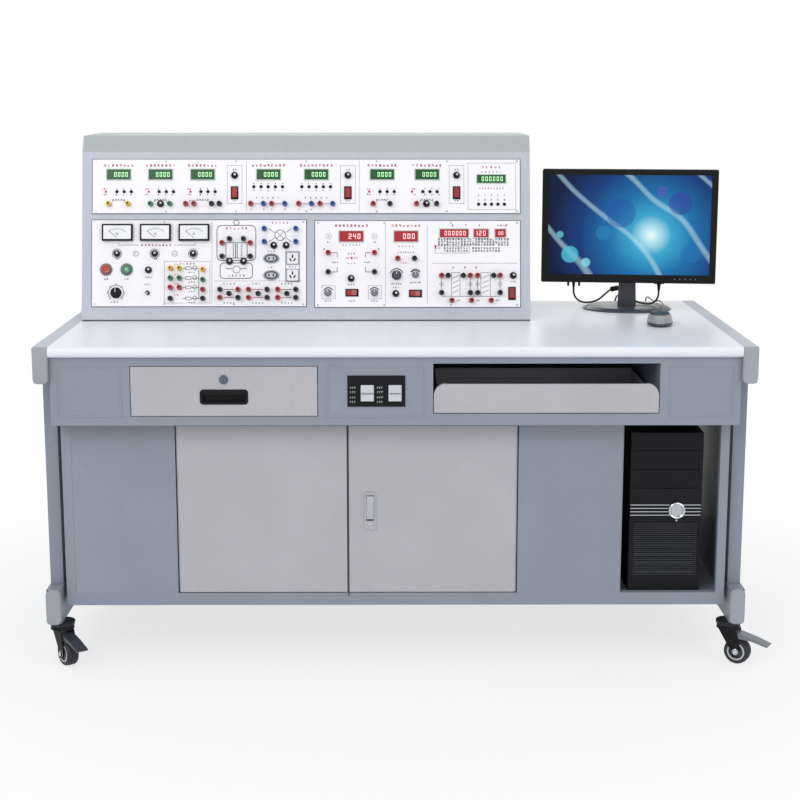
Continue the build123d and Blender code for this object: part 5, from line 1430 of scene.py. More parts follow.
@dataclass
class Console:
    """Leaning instrument console with its three boards.

    Boards are given as left, right, low and high on the face, key groups as middle, height, count and
    pitch, and everything else by its middle. The hood's paint starts at a height and a depth.
    """

    studs: Pattern = field(default_factory=stud_pattern)
    dash: Pattern = field(default_factory=dash_pattern)
    ribs: Pattern = field(default_factory=rib_pattern)
    # Red for headings and warm marks, black for small words and drawings, grey for the borders of the fields
    inks: tuple[Ink, Ink, Ink] = field(
        default_factory=lambda: (Ink("red", INK_RED), Ink("black", INK_BLACK), Ink("grey", INK_GREY))
    )
    hood_height: float = 1157.0
    hood_depth: float = 380.0
    louvre_depth: float = 395.2
    seam: float = 1.6
    screw_pitch: float = 175.0
    boards: tuple[Four, ...] = (
        (-740, 305, 264, 396),
        (-741, -218, 36, 247),
        (-196, 305, 34, 245),
    )
    green: tuple[Readout, ...] = tuple(
        [Readout(x, 359, 56, 23, "0000", 11) for x in (-676, -574, -471, -310, -193, -32, 78)]
        + [Readout(235, 348, 68, 18, "000000", 11)]
    )
    red: tuple[Readout, ...] = (
        Readout(-107.5, 207, 57, 24, "240", 13),
        Readout(26, 207, 56, 24, "000", 13),
        Readout(144, 214.5, 68, 18, "000000", 11),
        Readout(210, 214.5, 34, 18, "120", 12),
        Readout(257, 214.5, 24, 18, "00", 8.5),
    )
    meters: tuple[Flat, ...] = ((-678.5, 216.5), (-585.5, 216.5), (-491.5, 216.5))
    scale_radius: float = 33.0
    push_buttons: tuple[Flat, Flat] = ((-706, 126), (-656, 126))
    oval_outlets: tuple[Flat, ...] = ((-303, 153), (-303, 112))
    square_outlets: tuple[Flat, ...] = ((-251, 153), (-251, 112))
    fuses: tuple[Flat, ...] = (
        (-393, 357), (-116, 357), (150, 357), (-574, 287), (76, 287), (-680, 165), (-588, 165), (-494, 165),
        (-603, 125), (-405, 146), (-371, 146), (-297, 185), (-267, 185), (-108, 104), (1, 67), (288, 111),
    )  # fmt: skip
    key_groups: tuple[tuple[float, float, int, float], ...] = (
        (-663, 317, 3, 17.5), (-560, 317, 3, 17.5), (-458, 317, 3, 17.5), (-20, 317, 3, 17.5), (85, 317, 3, 17.5),
        (-311, 329, 5, 17.5), (-193.5, 329, 5, 17.5), (235.5, 286, 5, 15.8),
    )  # fmt: skip
    lamps: tuple[Flat, ...] = ((-708, 317), (-603, 317), (-501, 317), (-64, 317), (41, 317), (-107, 154), (98, 183))

    def housing(self) -> None:
        """Folded case with its louvres, the boards, and dark strips of painted shadow in the seams round them and under
        the case.
        """
        case = refined("console_case", "bench", FACE_PAINT, 1.2)
        case.data.materials.append(HOOD_PAINT.build())
        for face in case.data.polygons:
            hood = face.center.z > self.hood_height * MM or face.center.y > self.hood_depth * MM
            face.material_index = int(hood)
        refined("instrument_boards", "bench", BOARD_LACQUER, 0.3)
        # Dark strips round each board: painted shadow of the seam at its edge.
        seam, wide = Form(FACE), self.seam
        for left, right, low, high in self.boards:
            for x0, s0, x1, s1 in (
                (left - wide, low - wide, right + wide, low), (left - wide, high, right + wide, high + wide),
                (left - wide, low, left, high), (right, low, right + wide, high),
            ):  # fmt: skip
                seam.box((x0, s0, 0), (x1, s1, 1.2))
        low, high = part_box("console_case")
        # Dark strip along the foot of the case: painted contact shadow on the worktop.
        seam.box((low.x / MM + 1, 0.4, -0.5), (high.x / MM - 1, 3, 0.8))
        seam.ride("board_seams", "bench", PAINTED_GAP_SHADOW, "black_plastic")
        refined("console_electronics", "bench", DARK_INSIDE, 0.4)
        # The louvre slots are thin flat dark bars, painted shade of the openings.
        seeds = points_mesh([(x, self.louvre_depth, 1020) for x in (-560, -218, 124)])
        sizes = {"Count": 9, "Pitch": 12, "Length": 150, "Depth": 0.6, "Height": 4}
        bar_pattern().ride("rear_louvres", "bench", PAINTED_GAP_SHADOW, "console_paint", seeds, UPRIGHT, **sizes)

    def sockets(self) -> None:
        """Sets the safety terminals in five colours with their plug holes."""
        stud = stud_sizes((6.6, 2.2), (6, 12.4), 5.6, 1.2, 20)
        hole = stud_sizes((2.6, 0.05), (2.6, 0.05), 2.5, 0.05, 14)
        holes: list[Flat] = []
        for number, (colour, (finish, slot, spots)) in enumerate(TERMINALS.items()):
            replaces = () if number else ("binding_posts",)
            self.studs.ride(f"terminals_{colour}", "bench", finish, slot, spots_mesh(spots), replaces=replaces, **stud)
            holes += spots
        self.studs.ride("terminal_holes", "bench", BLACK_ABS, "black_plastic", spots_mesh(holes, BOARD + 15.8), **hole)

    def fuse_caps(self) -> None:
        """Sets the knurled fuse caps with a pale dot on top, set off the middle as a painted highlight."""
        sizes = stud_sizes((8.5, 2.4), (7.2, 7.4), 6.9, 1.2, 24)
        self.studs.ride("fuse_caps", "bench", TERMINAL_BLACK, "black_plastic", spots_mesh(self.fuses), **sizes)
        sizes = {"Count": 16, "Radius": 7, "Depth": 1, "Width": 0.9, "Height": 6}
        seeds = spots_mesh(self.fuses, BOARD + 5.6)
        self.ribs.ride("fuse_cap_ribs", "bench", TERMINAL_BLACK, "black_plastic", seeds, **sizes)
        # Pale disc set off the middle of each cap top: a painted highlight.
        sizes = stud_sizes((2.9, 0.1), (2.9, 0.1), 2.8, 0.1, 16)
        seeds = spots_mesh([(x + 1.2, s + 1) for x, s in self.fuses], BOARD + 11)
        self.studs.ride("fuse_cap_dots", "bench", PALE_GREY, "grey_plastic", seeds, **sizes)

    def displays(self) -> None:
        """Frames, filters and digits of all the readouts."""
        refined("display_modules", "bench", BEZEL_RIM, 0.5)
        for label, group, glass, light in (
            ("green", self.green, GREEN_WINDOW, GREEN_DIGIT),
            ("red", self.red, RED_WINDOW, PINK_DIGIT),
        ):
            window, figures = Form(FACE), Form(FACE)
            for readout in group:
                readout.window(window)
                readout.figures(figures)
            window.ride(f"windows_{label}", "bench", glass, "display")
            figures.ride(f"digits_{label}", "bench", light, "display")

    def meter_faces(self) -> None:
        """Sets the moving-coil meters: black frame, white scale, ticks, a letter and a needle."""
        refined("panel_meters", "bench", BLACK_ABS, 0.8)
        card, marks = Form(FACE), Form(FACE)
        scales: list[list[Point]] = []
        reach, tip, base = self.scale_radius, math.radians(126), BOARD + 9.2
        for x, s in self.meters:
            card.box((x - 33.4, s - 16.4, BOARD + 8.4), (x + 33.4, s + 16.4, BOARD + 9.3))
            low = s - 24.0
            angles = [math.radians(a) for a in range(52, 129, 4)]
            scales.append([(x + reach * math.cos(a), low + reach * math.sin(a), BOARD + 9.4) for a in angles])
            end = (x + reach * math.cos(tip), low + reach * math.sin(tip))
            marks.stroke((x, s - 13.5), end, 1, base, base + 0.4)
            # The letter V, or A in the last meter, in two straight strokes
            foot, head = (s - 7, s - 1) if x > -500 else (s - 1, s - 7)
            for side in (-2.6, 2.6):
                marks.stroke((x + side, foot), (x, head), 1.1, base, base + 0.3)
        card.ride("meter_cards", "bench", WHITE_ABS, "white_plastic")
        marks.ride("meter_needles", "bench", INK_BLACK, "black_plastic")
        sizes = {"Step": 2.4, "Dash": 0.6, "Width": 3.4, "Thickness": 0.2}
        self.dash.ride("meter_ticks", "bench", INK_BLACK, "black_plastic", lines_mesh(scales), **sizes)

    def key_plates(self) -> None:
        """White cover strips with one round hole for each key, over the slots of the boards."""
        form = Form(FACE)
        count, half_s, bore = 32, 5.4, 4.1
        low, high = BOARD + 0.02, BOARD + 0.35
        for x, s, keys, pitch in self.key_groups:
            half_x = pitch / 2
            corner = math.atan2(half_s, half_x)
            angles = turning(count)
            # The facets nearest to the cell's corners move onto them
            for angle in (corner, math.pi - corner, math.pi + corner, 2 * math.pi - corner):
                nearest = min(range(count), key=lambda i: abs(angles[i] - angle))
                angles[nearest] = angle
            for i in range(keys):
                middle = x + (i - (keys - 1) / 2) * pitch
                outer, inner = [], []
                for a in angles:
                    reach = min(half_x / max(1e-9, abs(math.cos(a))), half_s / max(1e-9, abs(math.sin(a))))
                    outer.append((middle + reach * math.cos(a), s + reach * math.sin(a)))
                    inner.append((middle + bore * math.cos(a), s + bore * math.sin(a)))
                stack = ((outer, low), (outer, high), (inner, high), (inner, low))
                form.skin([[(u, v, height) for u, v in ring] for ring, height in stack], close=True)
        form.ride("key_cover_strips", "bench", BOARD_LACQUER, "board")

    def keys(self) -> None:
        """Sets the small round range keys with an eased top, and the signal lamps beside them."""
        self.key_plates()
        spots = []
        for x, s, count, pitch in self.key_groups:
            spots += [(x + (i - (count - 1) / 2) * pitch, s) for i in range(count)]
        sizes = stud_sizes((3.4, 6), (3.4, 4.2), 3.4, 0.8, 18)
        seeds = spots_mesh(spots, -4)
        self.studs.ride("range_key_caps", "keys", BLACK_ABS, "black_plastic", seeds, replaces=("range_keys",), **sizes)
        sizes = stud_sizes((2.9, 0.6), (2.4, 0.8), 2.2, 0.9, 18)
        self.studs.ride("signal_lamps", "bench", RED_LIT, "red_plastic", spots_mesh(self.lamps), **sizes)

    def knob(self, node: str, body: str, spot: Flat, size: Flat, finish: Finish) -> None:
        """Sets a skirted knob with a ribbed grip, a dished cap and a pointer line.

        Args:
            node: CAD node that it stands for.
            body: CAD body that carries it.
            spot: Middle of the knob.
            size: Radius of the skirt and height of the knob.
            finish: Finish of the knob.
        """
        (x, s), (radius, height) = spot, size
        base, grip = BOARD + 0.3, radius * 0.8
        top = base + height
        cap, line = Form(FACE), Form(FACE)
        profile = [
            (radius, base), (radius, base + 1.8), (grip + 0.8, base + 3.2), (grip, base + 4.2),
            (grip - 0.5, top - 1.2), (grip - 1.6, top),
        ]  # fmt: skip
        cap.turned(spot, profile, 36)
        cap.ride(f"{node}_cap", body, finish, "grey_plastic", (node,))
        sizes = {"Count": 20, "Radius": grip - 0.2, "Depth": 1, "Width": 1, "Height": height - 5.6}
        seeds = spots_mesh([spot], base + 4.4 + (height - 5.4) / 2)
        self.ribs.ride(f"{node}_ribs", body, finish, "grey_plastic", seeds, **sizes)
        line.box((x - 0.7, s + 1, top - 0.1), (x + 0.7, s + grip - 1.2, top + 0.25))
        line.box((x - 0.7, s + grip + 0.4, base + 1.7), (x + 0.7, s + radius - 0.1, base + 2.9))
        line.ride(f"{node}_pointer", body, WHITE_ABS, "white_plastic")

    def controls(self) -> None:
        """Sets the knobs, push buttons, rockers and the toggle."""
        for node, body, spot, size, finish in (
            ("selector_knob", "selector", (-682, 69), (13.5, 15), BLACK_ABS),
            ("voltage_knob", "voltage_dial", (-165, 69), (9, 13), MID_GREY),
            ("current_knob", "current_dial", (-51, 69), (9, 13), MID_GREY),
            ("range_knob", "range_dial", (3, 112), (12, 15), DARK_GREY),
            ("fine_knob", "fine_dial", (49, 113), (8.5, 13), MID_GREY),
        ):
            self.knob(node, body, spot, size, finish)
        for spot, body, finish, glass, slot in (
            (self.push_buttons[0], "stop", RED_PLASTIC, RED_LIT, "red_plastic"),
            (self.push_buttons[1], "start", GREEN_PLASTIC, GREEN_LENS, "green_plastic"),
        ):
            lens, cap = Form(FACE), Form(FACE)
            lens.turned(spot, [(4.6, 10.8), (4.6, 11.5), (3.6, 12.2), (1, 12.5)], 24)
            lens.ride(f"{body}_button_lens", body, glass, slot)
            cap.turned(spot, [(10.9, -6), (10.9, 10.4), (10.2, 11.6), (7, 11.8), (4, 11.1), (1, 10.9)], 36)
            cap.ride(f"{body}_button_cap", body, finish, slot, (f"{body}_button",))
        refined("toggle_lever", "toggle", CHROME, 0.5)
        refined("module_rockers", "module_switches", ROCKER_RED, 0.5)
        for unit in ("supply", "generator", "counter"):
            refined(f"{unit}_rocker", f"{unit}_switch", ROCKER_RED, 0.5)

    def fittings(self) -> None:
        """Rocker housings, the rings of the push buttons, the toggle's nut and the outlets."""
        refined("panel_fittings", "bench", BLACK_ABS, 0.3)
        rings, nut = Form(FACE), Form(FACE)
        top = BOARD + 4.4
        for spot in self.push_buttons:
            rings.ring(spot, [(11.3, BOARD), (15.2, BOARD), (15, BOARD + 3), (13.6, top), (11.6, top)], 40)
        rings.ride("button_rings", "bench", MID_GREY, "grey_plastic")
        nut.ring((-605, 69), [(4, BOARD), (7.4, BOARD), (7.4, BOARD + 2), (4, BOARD + 2)], 6)
        nut.ride("toggle_nut", "bench", CHROME, "chrome")
        refined("mains_sockets", "bench", MID_GREY, 0.4)
        rims, plates, slots = Form(FACE), Form(FACE), Form(FACE)
        for x, s in self.oval_outlets:
            rims.oval((x, s), [(20.5, 13, BOARD), (20.5, 13, BOARD + 1.6), (18, 10.6, BOARD + 2)])
            slots.oval((x, s), [(14.6, 8.4, BOARD + 3.9), (14.6, 8.4, BOARD + 4.1)])
            rims.oval((x, s), [(12.2, 6.2, BOARD + 4), (12.2, 6.2, BOARD + 4.5)])
            for pin in (x - 5.4, x + 5.4):
                slots.box((pin - 1.9, s - 2.6, BOARD + 4.4), (pin + 1.9, s + 2.6, BOARD + 4.7))
        for x, s in self.square_outlets:
            outline = rounded_outline((x - 13.4, s - 13.4), (x + 13.4, s + 13.4), (2, 2, 2, 2), 3)
            plates.prism(outline, BOARD + 3, BOARD + 3.4)
            for dx, dy, turn in ((0, 5, 0), (-5, -3.6, 35), (5, -3.6, -35)):
                spin, middle = math.radians(turn), Vector((x + dx, s + dy))
                half = Vector((-math.sin(spin), math.cos(spin))) * 4.2
                slots.stroke(middle - half, middle + half, 3.4, BOARD + 3.3, BOARD + 3.6)
        rims.ride("outlet_rims", "bench", PALE_GREY, "grey_plastic")
        plates.ride("outlet_plates", "bench", WHITE_ABS, "white_plastic")
        slots.ride("outlet_slots", "bench", BLACK_ABS, "black_plastic")

    def screws(self) -> None:
        """Sets the screws along the edges of the three boards."""
        spots: list[Flat] = []
        for left, right, low, high in self.boards:
            count = max(2, round((right - left) / self.screw_pitch))
            for i in range(count + 1):
                x = left + 7 + (right - left - 14) * i / count
                spots += [(x, low + 4.5), (x, high - 4.5)]
        sizes = stud_sizes((2.6, 0.4), (2.6, 0.4), 2.3, 0.5, 14)
        self.studs.ride("board_screws", "bench", STEEL, "steel", spots_mesh(spots), **sizes)

    def print_top(self) -> None:
        """Prints the upper board."""
        red, black, grey = self.inks
        for x in (-364, -88):
            grey.dashed((x, 270), (x, 392))
        for i, x in enumerate((-676, -574, -471, -32, 78)):
            red.glyphs(x, 381.5, 8, 9.4, 5.4, 100 + i)
            black.rows((x + 12, 324.5, 3, 17.5, 2.6, 120 + i), (x + 12, 309.5, 3, 17.5, 3, 140 + i))
            red.rows((x - 33, 323.5, 2, 5, 3.4, 160 + i), (x - 33, 310.5, 2, 5, 3.4, 180 + i))
            black.glyphs(x, 298, 5, 6.5, 2.6, 200 + i)
        for i, x in enumerate((-310, -193)):
            red.glyphs(x, 381.5, 9, 9.4, 5.4, 300 + i)
            black.rows((x - 1, 337, 5, 17.5, 2.6, 320 + i), (x - 1, 320.5, 5, 17.5, 2.8, 340 + i))
        black.rows((-312, 302, 5, 13, 3.2, 350), (-194, 302, 5, 13, 3.2, 351))
        for x in (-393, -116, 150):
            grey.dashed_frame(x - 18, 288, x + 18, 381)
            black.rows((x, 371, 2, 6, 3, 400 + x), (x, 295, 2, 6, 3, 420 + x))
        grey.dashed_frame(178, 273, 295, 387)
        red.rows((235, 377, 5, 10.5, 4.6, 500), (235.5, 325, 9, 7, 3, 502))
        black.rows(
            (235, 365, 6, 9, 2.6, 501), (235.5, 309, 5, 15.8, 3.2, 503), (235.5, 297, 5, 15.8, 3.2, 504)
        )  # fmt: skip
        for x0, x1 in ((-700, -653), (-598, -551), (-512, -449), (-54, -13), (52, 101)):
            black.lines(0.9, (x0 + 9, 292, x0 + 9, 296), (x1 - 9, 292, x1 - 9, 296))
            black.line(x0 + 9, 296, x1 - 9, 296, 0.6)
        for x0, x1 in ((-353, -322), (-302, -270), (-236, -205), (-184, -153)):
            black.line(x0 + 8, 287, x1 - 8, 287, 0.8)
            red.glyphs(x0, 273.5, 1, 5, 3, 520 + x0)
            black.glyphs(x1, 273.5, 1, 5, 3, 540 + x1)

    def print_supply(self) -> None:
        """Prints the supply and lamp fields at the left of the left board."""
        red, black, grey = self.inks
        for i, (x, _) in enumerate(self.meters):
            black.glyphs(x, 152.5, 2, 5, 2.8, 610 + i)
        black.lines(0.6, (-676, 186, -628, 186), (-540, 186, -489, 186))
        black.lines(0.6, (-676, 186, -676, 192), (-489, 186, -489, 192))
        red.glyphs(-584, 186, 9, 8.6, 4.4, 621)
        for x in (-634, -539):
            grey.round_mark(x, 165, 7, 1.4)
            red.glyphs(x, 165, 1, 4, 4, 630 + x)
        for x, s in self.fuses[5:8]:
            grey.round_mark(x, s, 12, 1.6)
        black.rows((-706, 103, 2, 6, 3.6, 640), (-656, 103, 2, 6, 3.6, 641), (-603, 107, 3, 6, 3.2, 642))
        red.glyphs(-682, 47, 4, 7, 3.6, 643)
        black.arc(-682, 69, 19, -45, 225, 0.8)
        for angle in range(-45, 226, 45):
            along, up = math.cos(math.radians(angle)), math.sin(math.radians(angle))
            black.line(-682 + 19 * along, 69 + 19 * up, -682 + 22.5 * along, 69 + 22.5 * up, 1)
        black.glyphs(-605, 90, 3, 6, 3.2, 644)
        grey.dashed_frame(-564, 44, -453, 146)
        for s, seed in ((129, 650), (105, 651), (82, 652), (55, 653)):
            black.line(-519, s, -512, s, 0.8)
            black.frame(-512, s - 3.4, -499, s + 3.4, 0.8)
            black.line(-499, s, -479, s, 0.8)
            black.round_mark(-490, s + 1, 5.5, 1.4)
            red.glyphs(-535, s + 9, 2, 6, 3.4, seed)
            black.glyphs(-497, s - 10, 3, 6, 3, seed + 10)
        black.line(-480, 55, -480, 126, 0.8)
        red.glyphs(-508, 140.5, 5, 8, 4, 655)

    def print_left(self) -> None:
        """Prints the transformer, lead and outlet fields at the right of the left board."""
        red, black, grey = self.inks
        grey.dashed((-448, 44), (-448, 240))
        red.glyphs(-388, 227, 6, 9.5, 4.6, 660)
        black.round_mark(-388, 241, 7, 1.6)
        black.loop(rounded_outline((-436, 148), (-341, 234), (12, 12, 12, 12), 4), 1)
        black.loop(rounded_outline((-428, 104), (-349, 142), (9, 9, 9, 9), 4), 1)
        black.lines(1, (-413, 128, -398, 128), (-378, 128, -363, 128))
        black.round_mark(-388, 126, 9.5, 1.4)
        black.frame(-414, 154, -362, 192, 0.9)
        for x in (-398, -378):
            for i in range(5):
                black.arc(x, 158 + 7 * i, 3.4, -90, 90, 0.7)
        black.lines(1.1, (-390.5, 154, -390.5, 190), (-386.5, 154, -386.5, 190))
        black.glyphs(-388, 111, 5, 9, 4, 768)
        for x in (-428, -358, -287):
            red.lines(1, (x + 9, 77, x + 35, 77), (x + 9, 57, x + 35, 57))
            black.rows((x + 22, 91, 4, 8, 3, 680 + x), (x + 22, 44, 4, 8, 2.8, 700 + x))
        grey.dashed((-440, 98), (-228, 98))
        red.glyphs(-282, 241, 5, 9, 3.8, 720)
        black.arc(-281.5, 210, 13, 0, 360, 0.9)
        black.lines(
            0.7, (-309, 226, -294, 216), (-254, 226, -269, 216), (-309, 194, -294, 204), (-254, 194, -269, 204),
            (-290.5, 201, -272.5, 219), (-290.5, 219, -272.5, 201),
        )  # fmt: skip
        grey.frame(-268, 95.5, -234, 170.5, 0.8)
        black.rows(
            (-303, 170.5, 3, 7, 2.8, 730), (-303, 131.5, 3, 7, 2.8, 731), (-251, 132.5, 3, 7, 2.8, 732)
        )  # fmt: skip

    def print_output(self) -> None:
        """Prints the adjustable supply field at the left of the right board."""
        red, black, grey = self.inks
        red.rows((-107, 233.5, 9, 9.4, 5.4, 800), (26, 233.5, 8, 9.4, 5.4, 801))
        black.rows((-107, 186, 6, 8, 2.8, 802), (26, 183, 5, 8.5, 2.8, 803), (26, 168, 7, 6, 2.8, 804))
        for x, s in ((-163, 207), (-51, 207)):
            grey.round_mark(x, s, 7)
            black.rows((x, s, 1, 5, 4, 810 + x), (x, s - 14, 2, 5, 2.6, 812 + x))
        for x in (-164, -51):
            inner = 22 if x < -100 else -22
            black.lines(0.8, (x + inner, 167, x + inner, 155), (x + inner, 132, x + inner, 120))
            red.line(x + inner / 2.6, 167, x + inner, 167, 0.9)
            black.line(x + inner / 2.6, 120, x + inner, 120, 0.9)
            black.glyphs(x + inner * 0.8, 143.5, 3, 5, 3.6, 822 + x)
            red.glyphs(x - inner / 2.2, 176, 1, 5, 3.8, 830 + x)
            grey.dashed_frame(x - 15, 54, x + 17, 86)
            black.arc(x, 69, 12.5, 30, 150, 1.6)
            black.glyphs(x, 49, 3, 6, 2.8, 820 + x)
        red.lines(1, (-122, 154, -112, 154), (-102, 154, -92, 154))
        red.glyphs(-107, 165, 3, 7, 4.2, 827)
        black.rows((-107, 141, 3, 7, 2.8, 824), (-108, 89, 3, 6, 2.8, 825), (-106, 49, 3, 6, 2.8, 826))

    def print_right(self) -> None:
        """Prints the signal and counter fields at the right of the right board."""
        red, black, grey = self.inks
        grey.dashed((-24, 44), (-24, 236))
        black.arc(3, 112, 16, 20, 160, 1.4)
        black.arc(49, 113, 12.5, 30, 150, 2.4)
        black.rows(
            (3, 91, 5, 5.4, 3.4, 830), (49, 94, 5, 5.4, 3.4, 831), (1, 82, 3, 5.4, 2.6, 832),
            (26, 142, 3, 6, 2.6, 833),
        )  # fmt: skip
        grey.dashed((78, 44), (78, 232))
        for x, count in ((140, 1), (173, 1), (206, 1), (262, 4)):
            red.glyphs(x, 234, count, 6.5, 4.4, 840 + x)
        for ink, s, seed in ((black, 200, 850), (grey, 193.5, 851), (black, 187, 852)):
            ink.glyphs(191, s, 25, 7, 5, seed)
        red.glyphs(104, 178, 3, 5, 3.4, 855)
        for row, s in enumerate((178, 171.5)):
            black.rows((148, s, 9, 6.8, 4.4, 860 + row), (222, s, 10, 7, 4.4, 863 + row))
        grey.frame(97, 166, 182, 183, 0.6)
        grey.dashed((92, 141), (296, 141))
        red.glyphs(170, 131, 3, 28, 4.4, 870)
        for x in (113, 183, 201, 256):
            black.line(x, 77, x, 104, 0.7)
            grey.round_mark(x, 90, 5)
            black.glyphs(x, 90, 1, 4, 3, 880 + x)
        for x0, x1 in ((137, 158), (209, 232)):
            black.frame(x0, 60, x1, 118, 0.6)
            for i in range(4):
                black.line(x0 + 3, 68 + 12 * i, x1 - 3, 76 + 12 * i, 0.6)
        black.line(113, 60, 256, 60, 0.6)
        black.glyphs(288, 96, 3, 5, 2.6, 890)
        for x in (138, 186, 234):
            black.glyphs(x + 16, 50, 2, 5, 2.8, 895 + x)

    def build(self) -> None:
        """Dresses the whole console."""
        self.housing()
        self.sockets()
        self.fuse_caps()
        self.displays()
        self.meter_faces()
        self.keys()
        self.controls()
        self.fittings()
        self.screws()
        self.print_top()
        self.print_supply()
        self.print_left()
        self.print_output()
        self.print_right()
        for ink in self.inks:
            ink.build(self.dash)


# Computer station -------------------------------


@dataclass
class ScreenPicture:
    """Backlit desktop picture: a deep blue field with soft rings and crossing ribbons of light."""

    left: float = -204.0
    bottom: float = 842.0
    width: float = 408.0
    height: float = 252.0

    def build(self) -> bpy.types.Material:
        """Builds the glowing screen.

        Returns:
            The material of the panel.
        """
        material, tree = fresh_material("backlit_lcd_panel")
        place = put(tree, "ShaderNodeTexCoord").outputs["Object"]
        # The mapping undoes the stand's turn, so that X and Z run along the screen
        shift = tuple(c * MM for c in STAND.translation)
        flat = put(tree, "ShaderNodeVectorMath", {0: place, 1: shift}, operation="SUBTRACT").outputs[0]
        local = put(tree, "ShaderNodeMapping", {"Vector": flat, "Rotation": STAND.inverted().to_euler()}).outputs[0]
        axes = put(tree, "ShaderNodeSeparateXYZ", {0: local}).outputs
        shares = []
        for key, low, size in (("X", self.left, self.width), ("Z", self.bottom, self.height)):
            values = {"Value": axes[key], "From Min": low * MM, "From Max": (low + size) * MM}
            shares.append(put(tree, "ShaderNodeMapRange", values).outputs[0])
        spot = put(tree, "ShaderNodeCombineXYZ", dict(enumerate(shares))).outputs[0]
        stretch = put(tree, "ShaderNodeVectorMath", {0: spot, 1: (1.6, 1, 1)}, operation="MULTIPLY").outputs[0]
        middle = {0: stretch, 1: (1.02, 0.40, 0)}
        near = put(tree, "ShaderNodeVectorMath", middle, operation="DISTANCE").outputs["Value"]
        field_ramp = put(tree, "ShaderNodeValToRGB", {0: near})
        stops = field_ramp.color_ramp
        stops.elements[0].position, stops.elements[0].color = 0, srgb("#F2FCFF")
        stops.elements[1].position, stops.elements[1].color = 1, srgb("#0A1738")
        for position, colour in ((0.07, "#B4E4F0"), (0.2, "#38A4CB"), (0.42, "#176CA6"), (0.7, "#113A78")):
            stops.elements.new(position).color = srgb(colour)
        wave = {"Vector": stretch, "Scale": 0.9, "Distortion": 5, "Detail": 1.5, "Detail Scale": 0.6}
        swirl = put(tree, "ShaderNodeTexWave", wave, bands_direction="DIAGONAL").outputs["Fac"]
        crest = {"Value": swirl, "From Min": 0.955, "From Max": 1, "To Max": 0.4}
        ribbon = put(tree, "ShaderNodeMapRange", crest).outputs[0]
        mixed = put(
            tree, "ShaderNodeMix", {0: ribbon, 6: field_ramp.outputs[0], 7: srgb("#BDE9F4")}, data_type="RGBA"
        ).outputs[2]
        for centre, radius, colour, share in (
            ((1.30, 0.72, 0), 0.12, "#2E3F9A", 0.6), ((1.12, 0.84, 0), 0.06, "#4F58B4", 0.6),
            ((0.72, 0.62, 0), 0.15, "#1E4F9E", 0.5), ((0.55, 0.42, 0), 0.08, "#2C86BC", 0.5),
            ((0.22, 0.20, 0), 0.09, "#4FC3D8", 0.7), ((0.38, 0.12, 0), 0.05, "#8BE0EA", 0.7),
            ((0.12, 0.40, 0), 0.04, "#6FD0E0", 0.6), ((1.42, 0.22, 0), 0.10, "#1B6FB0", 0.6),
        ):  # fmt: skip
            away = put(tree, "ShaderNodeVectorMath", {0: stretch, 1: centre}, operation="DISTANCE").outputs["Value"]
            edge = {"Value": away, "From Min": radius, "From Max": radius - 0.012, "To Max": share}
            disc = put(tree, "ShaderNodeMapRange", edge).outputs[0]
            mixed = put(tree, "ShaderNodeMix", {0: disc, 6: mixed, 7: srgb(colour)}, data_type="RGBA").outputs[2]
        glass = {
            "Base Color": srgb("#05060A"), "Roughness": 0.3, "IOR": 1.5, "Specular IOR Level": 0.12,
            "Emission Color": mixed, "Emission Strength": 1,
        }  # fmt: skip
        shader = put(tree, "ShaderNodeBsdfPrincipled", glass)
        put(tree, "ShaderNodeOutputMaterial", {"Surface": shader.outputs[0]})
        return material


@dataclass
class Monitor:
    """Flat monitor on its oval foot."""

    half_width: float = 220.0
    bottom: float = 821.0
    top: float = 1108.0
    front: float = -40.0
    screen: Four = (-204, 842, 204, 1094)

    def bezel(self) -> None:
        """Gloss frame round the screen with a soft outer edge."""
        x0, z0, x1, z1 = self.screen
        form = Form(STAND @ FRONTAL)
        near = -self.front
        outer = rounded_outline((-self.half_width, self.bottom), (self.half_width, self.top), (4, 4, 4, 4), 4)
        # Each corner of the screen takes all the points of the rounded corner outside it
        corners = ((x0, z0), (x1, z0), (x1, z1), (x0, z1))
        inner = [corner for corner in corners for _ in range(len(outer) // 4)]
        middle = (self.bottom + self.top) / 2
        slim = [(x * 0.993, middle + (z - middle) * 0.99) for x, z in outer]
        stack = ((outer, -4), (outer, -0.2), (slim, 1.2), (inner, 1.2), (inner, -1.2))
        form.skin([[(x, z, near + depth) for x, z in ring] for ring, depth in stack], close=True)
        work = form.work
        bmesh.ops.remove_doubles(work, verts=work.verts, dist=1e-4)
        bmesh.ops.dissolve_degenerate(work, dist=1e-4, edges=work.edges)
        form.ride("monitor_bezel", "screen_head", BLACK_GLOSS, "computer")

    def build(self) -> None:
        """Dresses the monitor and its plugs."""
        refined("monitor_head", "screen_head", BLACK_ABS, 1)
        self.bezel()
        x0, z0, x1, z1 = self.screen
        panel = Form(STAND @ FRONTAL)
        panel.box((x0 + 0.2, z0 + 0.2, -self.front - 2.6), (x1 - 0.2, z1 - 0.2, -self.front - 1.1))
        mesh = panel.mesh("screen_panel")
        mesh.materials.append(ScreenPicture().build())
        piece("screen_panel", mesh, "screen_head", None)
        dots = Form(STAND @ FRONTAL)
        for i in range(5):
            dots.turned((118 + 13 * i, 832), [(1.6, -self.front + 1), (1.6, -self.front + 1.8)], 14)
        dots.ride("monitor_buttons", "screen_head", MID_GREY, "computer")
        refined("monitor_stand", "bench", STAND_GREY, 1)
        refined("head_plugs", "screen_head", BLACK_ABS, 1)
        refined("rear_plugs", "bench", BLACK_ABS, 1)


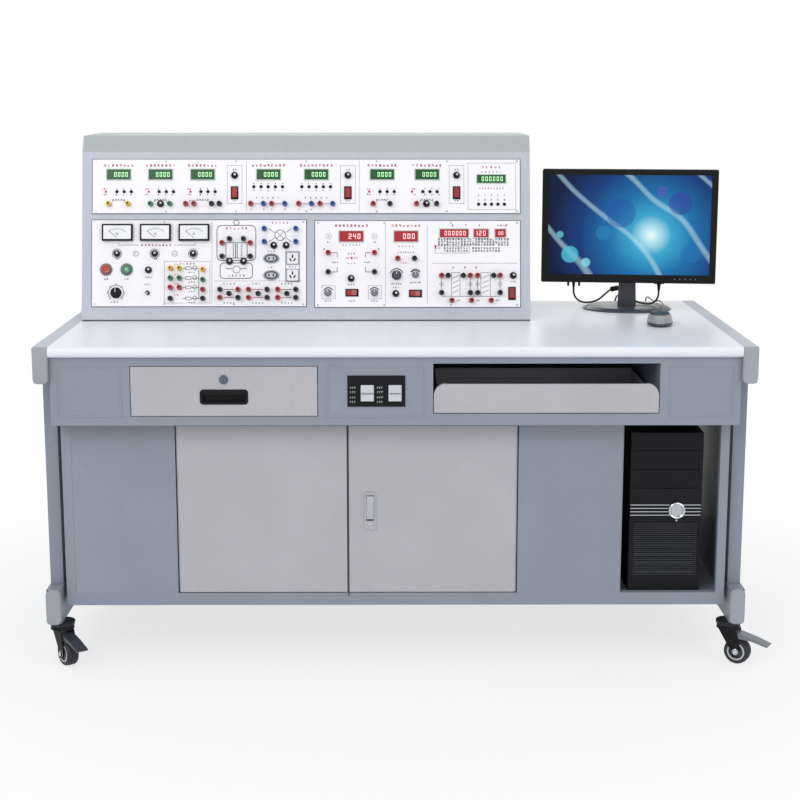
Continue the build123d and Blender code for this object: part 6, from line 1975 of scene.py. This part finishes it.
@dataclass
class Mouse:
    """Low two-button mouse with a scroll wheel, on the worktop at its place and turn in degrees."""

    place: Point = (636, -50, -8)
    wide: float = 62.0
    long: float = 112.0
    button_height: float = 28.2

    def ring(self, share: Flat, height: float, shift: float = 0.0) -> list[Point]:
        """Draws one oval ring of the shell.

        Args:
            share: Shares of the mouse's half width and half length.
            height: Height of the ring.
            shift: How far the ring stands towards the back.

        Returns:
            Its points.
        """
        half_x, half_y = self.wide / 2 * share[0], self.long / 2 * share[1]
        return [(half_x * math.cos(a), shift + half_y * math.sin(a), height) for a in turning(40)]

    def build(self) -> None:
        """Models the shell in rings that narrow upwards, and paints its buttons dark."""
        x, y, turn = self.place
        frame = Matrix.Translation((x, y, WORKTOP_TOP)) @ Matrix.Rotation(math.radians(turn), 4, "Z")
        belt = Form(frame)
        shares = (((0.86, 0.9), 0), ((0.95, 0.96), 2.5), ((1, 1), 6), ((0.985, 0.985), 9))
        belt.skin([self.ring(share, height) for share, height in shares])
        belt.ride("mouse_belt", "bench", DARK_GREY, "grey_plastic", ("mouse",))
        shell = Form(frame)
        rings = []
        for i in range(12):
            rise = i / 11 * math.pi / 2
            share = 0.965 * max(0.06, math.cos(rise)) ** 0.48
            rings.append(self.ring((share, share), 9 + 24.5 * math.sin(rise), -6 * i / 11))
        shell.skin(rings)
        mesh = shell.mesh("mouse_shell")
        mesh.materials.append(MOUSE_GREY.build())
        mesh.materials.append(DARK_GREY.build())
        for face in mesh.polygons:
            face.material_index = int(face.center.z > (WORKTOP_TOP + self.button_height) * MM)
        piece("mouse_shell", mesh, "bench", None)
        axle = Matrix.Translation((0, 30, 21.5)) @ Matrix.Rotation(math.radians(90), 4, "Y")
        wheel = Form(frame @ axle)
        wheel.turned((0, 0), [(8.4, -3.6), (9, -2.6), (9, 2.6), (8.4, 3.6)], 24)
        wheel.ride("mouse_wheel", "bench", BLACK_ABS, "black_plastic")


def main() -> None:
    """Loads the frame and builds every sub-assembly in order."""
    logging.basicConfig(level=logging.INFO, format="%(name)s: %(message)s")
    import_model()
    Studio().build()
    for part in (Leads(), BenchFrame(), Casters(), Apron(), Cabinet(), Tower(), Console(), Monitor(), Mouse()):
        part.build()
        LOG.info("%s built", type(part).__name__)
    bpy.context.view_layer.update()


if __name__ == "__main__":
    main()
